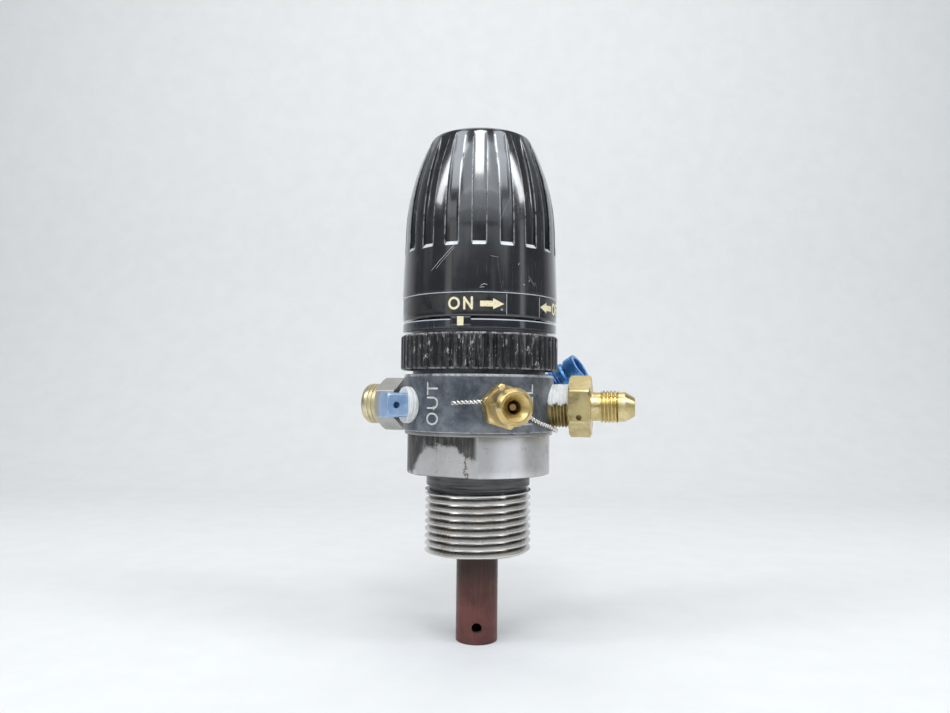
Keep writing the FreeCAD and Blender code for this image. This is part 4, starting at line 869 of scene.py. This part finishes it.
def knob_radius(z):
    if z <= BAND_TOP:
        return BAND_RADIUS
    if z <= SHOULDER_Z:
        return SKIRT_RADIUS - (SKIRT_RADIUS - SHOULDER_RADIUS) * (z - TAPER_LOW) / (SHOULDER_Z - TAPER_LOW)
    return crown_radius(z)


def flute_floor(z):
    root = SHOULDER_RADIUS - FLUTE_DEPTH
    low = FLUTE_LOW + FLUTE_DEPTH
    if z < low:
        return root + (low - z)
    if z <= SHOULDER_Z:
        return root
    if z <= FLUTE_FADE:
        return crown_radius(z, FLUTE_DEPTH)
    share = (z - FLUTE_FADE) / (RIM_Z - FLUTE_FADE)
    start = crown_radius(FLUTE_FADE, FLUTE_DEPTH)
    return start + (RIM_R - start) * share


def knob_shells():
    """Knob's outside as one grid: lands and flat-bottomed flutes with rounded lips."""
    half, fillet, lip = 1.9, 0.22, 0.26
    spacing = 360 / FLUTES
    levels = [SKIRT_LOW + 0.18 + k * 1.02 for k in range(6)] + [BAND_TOP - 0.06]
    levels += [BAND_TOP + 0.001, BAND_TOP + 0.1, 53.0, 55.5, 58.0, 60.5, 62.8, 64.3, 64.62, 64.74]
    levels += [64.8 + k * 0.1 for k in range(11)]
    levels += [65.86, 65.9, 65.96, 66.1, 66.6, 67.5, 68.5, 69.3, SHOULDER_Z]
    levels += [SHOULDER_Z + (RIM_Z - SHOULDER_Z) * k / 40 for k in range(1, 41)]

    def row(z, surface, floor):
        wide = min(half, 0.122 * surface)
        depth = max(0.0, surface - floor)
        scale = min(1.0, depth / (fillet + lip)) if depth > 1e-6 else 0.0
        f, b = fillet * scale, lip * scale
        section = [(floor, 0.0), (floor, 0.42 * wide), (floor, wide - f), (floor + 0.29 * f, wide - 0.29 * f),
                   (floor + f, wide), (surface - b, wide), (surface - 0.29 * b, wide + 0.29 * b * 0.9)]
        side = [(min(x, sqrt(surface ** 2 - y ** 2)), y) for x, y in section]
        start = degrees(asin((wide + b + 0.05) / surface))
        land = [radians(start + (spacing - 2 * start) * k / 6) for k in range(7)]
        flute = [(x, -y) for x, y in reversed(side[1:])] + side
        flute += [(surface * cos(a), surface * sin(a)) for a in land]
        points = []
        for i in range(FLUTES):
            phi = radians(FLUTE_TURN - 90 + spacing * i)
            points += [(x * cos(phi) - y * sin(phi), x * sin(phi) + y * cos(phi), z) for x, y in flute]
        return points

    def plain(r, z):
        return row(z, r, r)

    rows = [plain(20.8, SKIRT_LOW), plain(22.6, SKIRT_LOW), plain(BAND_RADIUS - 0.18, SKIRT_LOW),
            plain(BAND_RADIUS - 0.05, SKIRT_LOW + 0.06)]
    rows += [row(z, knob_radius(z), flute_floor(z)) for z in levels]
    for k in range(9):
        a = RIM_START + (pi / 2 - RIM_START) * k / 8
        rows.append(plain(RIM_CENTRE + CROWN_EDGE * cos(a), RIM_Z + CROWN_EDGE * sin(a)))
    rows += [plain(r, KNOB_TOP) for r in (RIM_CENTRE - 0.8, 13.0, 10.5, CAP_RADIUS + 0.25)]
    rows += [plain(CAP_RADIUS + 0.05, KNOB_TOP - 0.05), plain(CAP_RADIUS, KNOB_TOP - 0.25),
             plain(CAP_RADIUS, CAP_FLOOR)]
    inner = [(0, 84.5), (17.8, 84.5), (17.8, 65.0), (20.8, 62.0), (20.8, SKIRT_LOW)]
    return [sheet(rows), lathe(inner), lathe([(CAP_RADIUS, CAP_FLOOR), (0, CAP_FLOOR)], 48)]


def on_knob(name, shells, material, replaces=(), angle=32):
    piece(name, shells, material, replaces, angle=angle, body="knob")


on_knob("fluted_knob", knob_shells(), KNOB, ["knob"], 30)
cap_profile = [(0, KNOB_TOP - 2.0), (7.0, KNOB_TOP - 2.0), (7.0, CAP_FLOOR), (7.9, CAP_FLOOR),
               (7.9, KNOB_TOP), (6.4, KNOB_TOP), (6.1, KNOB_TOP - 0.2), (0, KNOB_TOP - 0.2)]
on_knob("knob_cap_disc", [turned(cap_profile, 0.12)], KNOB, ["knob_cap"])

# Label films in the knob's band, with ON and OFF and their arrows
BAND_MID = 48.15
WORD_MID = 48.35
ARROW_MID = 48.2
INK = BAND_RADIUS + 0.016
PEN = 0.62
H = 3.55
TOP = H / 2 - 0.25
FOOT = -H / 2 + 0.2
ARROW = 3.1
for name, start, end in (("label_on", -78.0, 18.4), ("label_off", 46.5, 100.0)):
    half = radians(end - start) / 2 * BAND_RADIUS
    film = patch([(-half, -2.85, 2.9), (half, -2.85, 2.9)], BAND_RADIUS - 0.004, (start + end) / 2, BAND_MID)
    on_knob(name, [film], LABEL)


def letter_o(x, w):
    return arc_points(x, 0, w / 2, (H - PEN) / 2, 0, 360, 28)


def letter_f(x):
    return [[(x, FOOT), (x, TOP), (x + 2.0, TOP)], [(x, 0.1), (x + 1.7, 0.1)]]


def arrow(x0, x1):
    """Arrow from x0 to x1, as a patch outline."""
    way = copysign(1.0, x1 - x0)
    back = x1 - way * ARROW
    rows = [(x0, -0.78, 0.78), (back, -0.78, 0.78), (back + way * 0.001, -1.5, 1.5), (x1, -0.02, 0.02)]
    return rows if x1 > x0 else rows[::-1]


on_word = [letter_o(-2.0, 2.8), [(0.95, FOOT), (0.95, H / 2 - 0.2)],
           [(0.95, H / 2 - 0.3), (3.05, -H / 2 + 0.3)], [(3.05, FOOT), (3.05, H / 2 - 0.2)]]
off_word = [letter_o(-3.3, 2.55)] + letter_f(-0.9) + letter_f(2.4)
for name, shell in (("word_on", strokes(on_word, PEN, INK, -13.2, WORD_MID)),
                    ("arrow_on", patch(arrow(-3.35, 3.35), INK, 8.2, ARROW_MID)),
                    ("word_off", strokes(off_word, PEN, INK, 76.5, WORD_MID)),
                    ("arrow_off", patch(arrow(3.05, -3.05), INK, 55.0, ARROW_MID))):
    on_knob(name, [shell], CREAM)

# Worn white edges of the films, and the knob's longest scratches and nicks
film_ends = [strokes([[(0, -2.8), (0, 2.85)]], 0.13, INK, a, BAND_MID) for a in (18.4, 46.5)]
flecks = strokes([[(0, 0), (0.35, -0.2)], [(0.1, 0.3), (0.5, 0.1)]], 0.16, INK, 14.4, 46.6)
on_knob("film_edges", film_ends + [flecks], WORN)


def skirt(z):
    return knob_radius(z) + 0.002


# Each scratch: its points, width, azimuth and level
marks = [([(0, 0), (-7.0, -6.6)], 0.1, -19.0, 64.5), ([(0, 0), (-5.6, -5.6)], 0.06, -18.6, 63.9),
         ([(0, 0), (0.9, 0.5), (1.7, 0.2)], 0.12, 0.3, 53.2), ([(0, 0), (1.3, 0.1)], 0.09, -0.4, 52.7),
         ([(0, 0), (0.5, -0.4)], 0.12, 31.0, 54.2), ([(0, 0), (0.35, 0.5)], 0.1, 36.0, 55.0),
         ([(0, 0), (-0.3, -0.7)], 0.08, 28.0, 60.0), ([(0, 0), (2.2, -0.35)], 0.05, 7.0, 61.5)]
scratched = [strokes([line], width, skirt, at, z, thick=0.012) for line, width, at, z in marks]
on_knob("skirt_scratches", scratched, WORN)

# fittings
# Outlet: pipe thread, hexagon, neck, flare thread, nose and cone
port = port_matrix(OUTLET)
outlet = [turned([(5.6, 33.8), (4.2, 33.85), (4.2, 36.6), (4.0, 36.7)], 0.3, 0.8, 72),
          thread(4.76, 0.55, 1.058, 36.6, 41.5, 72, wear=0.01, seed=7),
          turned([(4.0, 41.45), (4.35, 41.5), (4.35, 43.5), (2.7, 46.3), (2.2, 46.3), (2.2, PORT_FLOOR),
                  (6.0, PORT_FLOOR)], 0.45, thetas=72, steps=5)]
piece("flare_outlet", outlet, BRASS, ["outlet_fitting"], port)
pipe_thread = [thread(6.28, 0.55, 0.941, 22.4, 27.6, 72, wear=0.03, seed=3),
               lathe([(6.0, PORT_FLOOR), (6.2, 15.8), (6.2, 22.6)], 64)]
piece("outlet_pipe_thread", pipe_thread, OLIVE, (), port)
hole = square_to(port, (0, -3.1, 30.7))
piece("outlet_hexagon", [nut(15.875, 27.5, 33.85)], BRASS, (), port,
      [(rod(0.8, -12, -3.2, 32), hole), (rod(0.8, 3.2, 12, 32), hole), (rod(2.2, 20, 40, 32), port)])


def ragged_tape(name, inner, end, azimuth, node, seed, puff, bare=None, close=None):
    """Tape wound on a thread: overlapping turns with a wavy edge, torn away below a bare height."""
    rng = random.Random(seed)
    start = 19.0
    steps = max(6, int((end - start) / 0.13))
    waves = [(rng.uniform(0.02, 0.06), rng.randint(2, 9), rng.uniform(0, 6.3), rng.uniform(0.5, 3.0))
             for _ in range(7)]
    rows = [[(inner * cos(t), inner * sin(t), start) for t in circle(96)]]
    for j in range(steps + 1):
        z = start + (end - start) * j / steps
        row = []
        for t in circle(96):
            lap = ((z - start) / 0.95 + t / (2 * pi)) % 1.0
            r = inner + puff * (0.5 + 0.45 * lap)
            for amount, count, phase, slope in waves:
                r += amount * puff * sin(count * t + phase + slope * z)
            if j in (0, steps):
                r -= 0.12
            if bare is not None:
                tear = bare + 0.35 * sin(2.3 * z + seed) + 0.2 * sin(7.1 * z)
                r -= min(1.0, max(0.0, (tear - r * sin(t)) / 0.3))
            row.append((r * cos(t), r * sin(t), z))
        rows.append(row)
    last = inner if close is None else close
    rows.append([(last * cos(t), last * sin(t), end) for t in circle(96)])
    piece(name, [sheet(rows)], TAPE, [node], port_matrix(azimuth), angle=50)


ragged_tape("tape_outlet", 6.2, 27.45, OUTLET, "outlet_tape", 3, 0.36, bare=0.6)
ragged_tape("tape_plug", 4.9, 24.4, PLUG, "plug_tape", 5, 0.38, close=3.2)
ragged_tape("tape_elbow", 4.9, 26.5, ELBOW, "elbow_tape", 8, 0.36)

# Fill valve: thread, hexagon, barrel, countersunk mouth
port = port_matrix(FILL)
fill_profile = [(4.6, 27.9), (5.15, 28.0), (5.15, 35.2), (4.1, 36.8), (3.6, 36.8), (1.85, 34.9), (1.85, 23.0),
                (2.3, 23.0), (2.3, 17.0), (1.2, 17.0), (1.2, PORT_FLOOR), (4.9, PORT_FLOOR), (4.9, 23.5)]
piece("fill_barrel", [turned(fill_profile, 0.22, 1.2)], FILL_BRASS, ["fill_valve_body"], port)
WIRE_SEATS = {-1: 1.25, 1: -1.85}
seats = [(rod(0.72, -1.3, 1.3, 24), square_to(port, (side * FILL_FLAT, rise, FILL_NUT)))
         for side, rise in WIRE_SEATS.items()]
piece("fill_hexagon", [nut(11.1, 23.5, 28.0, 13.0)], FILL_BRASS, (), port,
      seats + [(rod(1.85, 20, 30, 32), port)])
pin_profile = [(0, 21.4), (1.9, 21.4), (1.9, 22.9), (0.9, 22.9), (0.9, 33.8), (0, 33.8)]
piece("fill_pin_rod", [turned(pin_profile, 0.15, thetas=40)], BRONZE, ["fill_pin"], port,
      body="fill_valve_pin")

# Square-head plug
port = port_matrix(PLUG)
PLUG_CORNER = 4.6


def plug_limit(t):
    a = (degrees(t) + 45) % 90 - 45
    return min(PLUG_CORNER, 3.5 / cos(radians(a)))


def quarter(radius, z, inwards, rise, count):
    """Rounded edge from (radius, z), as profile points."""
    turns = [pi / 2 * k / count for k in range(count + 1)]
    return [(radius - inwards * (1 - cos(t)), z + rise * sin(t)) for t in turns]


plug_angles = [radians(k * 90 + a) for k in range(4) for a in
               (0, 8, 16, 24, 32, 38, 40.2, 41.3, 42.6, 45, 47.4, 48.7, 49.8, 52, 58, 66, 74, 82)]
head_profile = [(0, 24.4), (4.4, 24.4), (PLUG_CORNER, 24.42), (PLUG_CORNER, 27.0)]
head_profile += quarter(PLUG_CORNER, 29.8, 1.3, 0.9, 6) + [(1.5, 30.7), (0, 30.7)]
piece("square_plug", [lathe(head_profile, plug_angles, plug_limit)], LIGHT_BLUE, ["gauge_plug"],
      port, [(rod(0.95, -0.6, 6, 32), square_to(port, (0, 0, 27.9)))])
piece("plug_thread", rod(4.9, PORT_FLOOR, 24.2, 72), LIGHT_BLUE, (), port)

# Relief valve: pale hexagon and ringed cap
port = port_matrix(RELIEF)
piece("relief_stem", [lathe([(1.5, PORT_FLOOR), (4.9, PORT_FLOOR), (4.9, 24.85)], 72)], PALE,
      ["relief_body"], port)
piece("relief_hexagon", [nut(14.3, 24.75, 31.45)], PALE, (), port)
cap_outline = [(0, 31.45), (5.8, 31.45), (6.3, 31.9), (6.3, 32.8), (6.0, 33.0), (6.0, 33.3), (6.3, 33.5),
               (6.3, 34.1), (6.0, 34.3), (6.0, 34.6), (6.3, 34.8)]
cap_outline += quarter(6.3, 35.5, 2.0, 2.0, 7) + [(2.4, 37.5), (2.2, 37.3), (0, 37.3)]
piece("relief_cap_ringed", [turned(cap_outline, 0.12)], CAP_BRASS, ["relief_cap"], port,
      [(rod(1.2, -8, 8, 32), square_to(port, (0, 0, 34.475), "X"))])


# Elbow and its outlet nipple
def moved(shell, matrix):
    verts, faces = shell
    return [matrix @ Vector(v) for v in verts], faces


arm_in = turned([(1.5, PORT_FLOOR), (4.9, PORT_FLOOR), (4.9, 26.5), (ELBOW_RADIUS, 26.5),
                 (ELBOW_RADIUS, 35.0)], 0.25, 1.2, 72)
half_turn = [radians(a) for a in range(-90, 91, 6)]
ball = lathe([(ELBOW_RADIUS * cos(a), ELBOW_RADIUS * sin(a)) for a in half_turn], 72)
arm_out = turned([(ELBOW_RADIUS, 0), (ELBOW_RADIUS, 7.5), (4.3, 7.5), (4.3, 9.0)], 0.3, thetas=72)
elbow = [moved(arm_in, port_matrix(ELBOW)), moved(ball, Matrix.Translation(ELBOW_CORNER)),
         moved(arm_out, ELBOW_MATRIX)]
piece("blue_elbow", elbow, DEEP_BLUE, ["elbow_fitting"])
nipple_profile = [(4.1, 16.55), (4.9, 16.6), (4.9, 17.6), (4.3, 18.2), (4.3, 19.2), (4.9, 19.2), (4.9, 23.0),
                  (3.5, 23.0), (3.5, 9.0), (4.2, 9.0)]
nipple = [thread(4.7, 0.5, 1.05, 9.0, 16.6, 72, flat=0.16, wear=0.01, seed=9),
          turned(nipple_profile, 0.25, 1.0, 80)]
piece("blue_nipple", nipple, DEEP_BLUE, ["outlet_nipple"], ELBOW_MATRIX)


# lockwire
def smooth_path(points, samples=60):
    """Points read from the route's NURBS spline, in millimetres."""
    curve = bpy.data.curves.new("route", "CURVE")
    curve.dimensions = "3D"
    curve.resolution_u = max(4, samples // max(1, len(points) - 2))
    spline = curve.splines.new("NURBS")
    spline.points.add(len(points) - 1)
    for p, q in zip(spline.points, points):
        p.co = (*(q * MM), 1)
    spline.order_u = 3
    spline.use_endpoint_u = True
    holder = link("route", curve)
    bpy.context.view_layer.update()
    mesh = bpy.data.meshes.new_from_object(holder)
    out = [v.co / MM for v in mesh.vertices]
    bpy.data.objects.remove(holder)
    return out


def resample(path, step):
    out = [path[0]]
    left = step
    for a, b in zip(path, path[1:]):
        run = (b - a).length
        while left <= run:
            out.append(a + (b - a) * (left / run))
            left += step
        left -= run
    out.append(path[-1])
    return out


def heading(path, i):
    return (path[min(i + 1, len(path) - 1)] - path[max(i - 1, 0)]).normalized()


def twist(path, radius, strand, lay, phase):
    """One strand wound round a path."""
    path = resample(path, 0.22)
    normal = (path[1] - path[0]).orthogonal().normalized()
    travelled = 0.0
    line = []
    for i, p in enumerate(path):
        ahead = heading(path, i)
        normal = (normal - ahead * normal.dot(ahead)).normalized()
        if i:
            travelled += (p - path[i - 1]).length
        t = phase + 2 * pi * travelled / lay
        line.append(p + (normal * cos(t) + ahead.cross(normal) * sin(t)) * radius)
    rows = []
    for i, p in enumerate(line):
        ahead = heading(line, i)
        u = ahead.orthogonal().normalized() if i == 0 else (u - ahead * u.dot(ahead)).normalized()
        w = ahead.cross(u)
        rows.append([p + (u * cos(a) + w * sin(a)) * strand for a in circle(8)])
    verts, faces = sheet(rows)
    base = len(verts) - 8
    for k in range(8):
        n = (k + 1) % 8
        faces += [(base + 8, n, k), (base + 9, base + k, base + n)]
    return verts + [line[0], line[-1]], faces


def flank(side):
    """Wire's seat in a flank of the fill valve's hexagon, and the way out of it."""
    out = port_matrix(FILL).to_3x3() @ Vector((side, 0, 0))
    return polar(FILL, FILL_NUT, PORT_Z + WIRE_SEATS[side]) + out * FILL_FLAT, out


end, out = flank(-1)
tail = [polar(a, WIRE_FAR, PORT_Z + rise) for a, rise in ((-17.8, 0.85), (-6.0, 1.25))]
tail += [end + out * 2.0, end - out * 1.0]
end, out = flank(1)
run = [end - out * 1.0, end + out * 2.0]
run += [polar(a, WIRE_NEAR, PORT_Z + rise)
        for a, rise in ((33.0, -2.25), (46.0, -4.85), (60.0, -5.85), (71.5, -6.9), (76.0, -7.35))]
for name, route, node in (("wire_tail_twist", tail, "lockwire_tail"),
                          ("wire_run_twist", run, "lockwire_run")):
    path = smooth_path(route)
    piece(name, [twist(path, 0.37, 0.29, 2.4, phase) for phase in (0.0, pi)], WIRE, [node], angle=60)

# engraved words
def engrave(name, lines, centre, low):
    shell = strokes(lines, 0.5, BODY_RADIUS + 0.004, centre, low, 90)
    piece(name, [shell], ENGRAVED)


# They read upwards: x runs up the band, y to the left
letter_u = [(4.75, 1.75), (4.75, -0.4)] + arc_points(6.2, -0.4, 1.45, 1.4, 180, 360, 12) + [(7.65, 1.75)]
engrave("word_out", [arc_points(1.75, 0, 1.5, 1.8, 0, 360, 28), letter_u, [(8.6, 1.7), (11.8, 1.7)],
                     [(10.2, 1.7), (10.2, -1.75)]], -35.5, 14.6)
engrave("word_fill", [[(0.2, -1.75), (0.2, 1.75), (2.2, 1.75)], [(0.2, 0.1), (1.9, 0.1)],
                      [(3.3, -1.75), (3.3, 1.75)], [(5.4, 1.75), (5.4, -1.75), (7.65, -1.75)],
                      [(8.9, 1.75), (8.9, -1.75), (11.15, -1.75)]], 37.0, 14.9)

# frame nodes that keep their own mesh
slots = {part["node"]: part["material_slot"] for part in frame["record"]["subparts"]}
for name, obj in frame["nodes"].items():
    finish = CAD_FINISH.get(slots.get(name), STEEL)
    obj.data.materials.clear()
    obj.data.materials.append(finish)
    smooth(obj.data, 30)


# stage, light, camera
def stage_material(name, colour):
    m = Nodes(name)
    grain = m.noise(60, 4, 0.6)
    base = m.blend(m.span(grain, 0.3, 0.7), colour, tuple(c * 0.97 for c in colour))
    return m.finish(base, m.span(grain, 0.2, 0.8, 0.75, 0.85))


# Pale floor that curves up into the backdrop
bend = [radians(a) for a in range(6, 91, 6)]
profile = [(-900, TUBE_FOOT), (300, TUBE_FOOT)]
profile += [(300 + 220 * sin(a), TUBE_FOOT + 220 * (1 - cos(a))) for a in bend] + [(520, TUBE_FOOT + 1400)]
verts = [(x, y, z) for y, z in profile for x in (-1500, 1500)]
faces = [(a, a + 1, a + 3, a + 2) for a in range(0, len(verts) - 2, 2)]
floor = link("pale_sweep", mesh_of("pale_sweep", [(verts, faces)]))
smooth(floor.data, 60)
floor.data.materials.append(stage_material("stage_pale", (0.76, 0.76, 0.755)))

KNOB_EYE = Vector((0, 0, 0.085))
COOL = (0.86, 0.93, 1.0)
# Panels seen from the knob: azimuth and height in degrees, distance, size, brightness, colour, roll
for name, azimuth, height, distance, size, radiance, colour, roll in (
        ("crown_panel", 2, 54, 0.7, (0.2, 0.26), 8.0, (0.93, 0.965, 1.0), 0),
        ("glow_middle", 0, 50, 1.0, (0.94, 0.6), 1.9, COOL, 0),
        ("glow_left", -54, 48, 0.8, (0.26, 0.42), 3.4, COOL, 0),
        ("glow_right", 54, 48, 0.8, (0.26, 0.42), 3.4, COOL, 0),
        ("glow_fade", 0, 29, 1.0, (1.9, 0.22), 1.2, COOL, 0),
        ("glow_foot", 0, 19, 1.0, (1.6, 0.16), 0.6, COOL, 0),
        ("left_strip", -67, 36, 0.8, (0.14, 0.36), 8.5, (0.94, 0.97, 1.0), -8),
        ("right_strip", 67, 37, 0.8, (0.14, 0.36), 8.5, (0.94, 0.97, 1.0), 8),
        ("left_streak", -46, 4, 0.9, (0.14, 0.36), 0.7, (1.0, 0.96, 0.92), 0),
        ("right_streak", 64, 4, 0.9, (0.12, 0.36), 0.9, (0.95, 0.97, 1.0), 0),
        ("roof_panel", 180, 80, 0.65, (0.5, 0.36), 2.2, (1.0, 0.97, 0.93), 0)):
    rise = radians(height)
    data = bpy.data.lights.new(name, "AREA")
    data.shape = "RECTANGLE"
    data.size, data.size_y = size
    data.energy = radiance * pi * size[0] * size[1]
    data.color = colour
    lamp = link(name, data)
    lamp.location = KNOB_EYE + (direction(azimuth) * cos(rise) + Vector((0, 0, sin(rise)))) * distance
    aim = (KNOB_EYE - lamp.location).to_track_quat("-Z", "Y")
    lamp.rotation_euler = (aim @ Quaternion((0, 0, 1), radians(roll))).to_euler()

world = bpy.data.worlds.new("soft_room")
world.use_nodes = True
background = world.node_tree.nodes["Background"]
background.inputs["Color"].default_value = (0.96, 0.97, 1.0, 1)
background.inputs["Strength"].default_value = 0.15
bpy.context.scene.world = world

# The photograph's camera, from the corners of the part: its roll and tilt, the point it aims
# past, its distance in millimetres, its focal length and the picture's width in pixels
rho, theta = radians(0.587), radians(2.767)
AIM_LEVEL = 34.75
AIM_SIDE = 1.28
DISTANCE = 233.1
FOCAL = 768.0
WIDTH = 950.0
SENSOR = 36.0
right = Vector((cos(rho), 0, sin(rho)))
ahead = Vector((-sin(rho) * sin(theta), cos(theta), cos(rho) * sin(theta)))
up = Vector((-sin(rho) * cos(theta), -sin(theta), cos(rho) * cos(theta)))
eye = (Vector((0, 0, AIM_LEVEL)) - right * AIM_SIDE - ahead * DISTANCE) * MM
camera_data = bpy.data.cameras.new("camera")
camera_data.sensor_width = SENSOR
camera_data.lens = SENSOR * FOCAL / WIDTH
camera_data.clip_start = 0.01
camera = link("camera", camera_data)
pose = Matrix((right, up, -ahead)).transposed().to_4x4()
pose.translation = eye
camera.matrix_world = pose
bpy.context.scene.camera = camera
bpy.context.scene.view_settings.view_transform = "Standard"
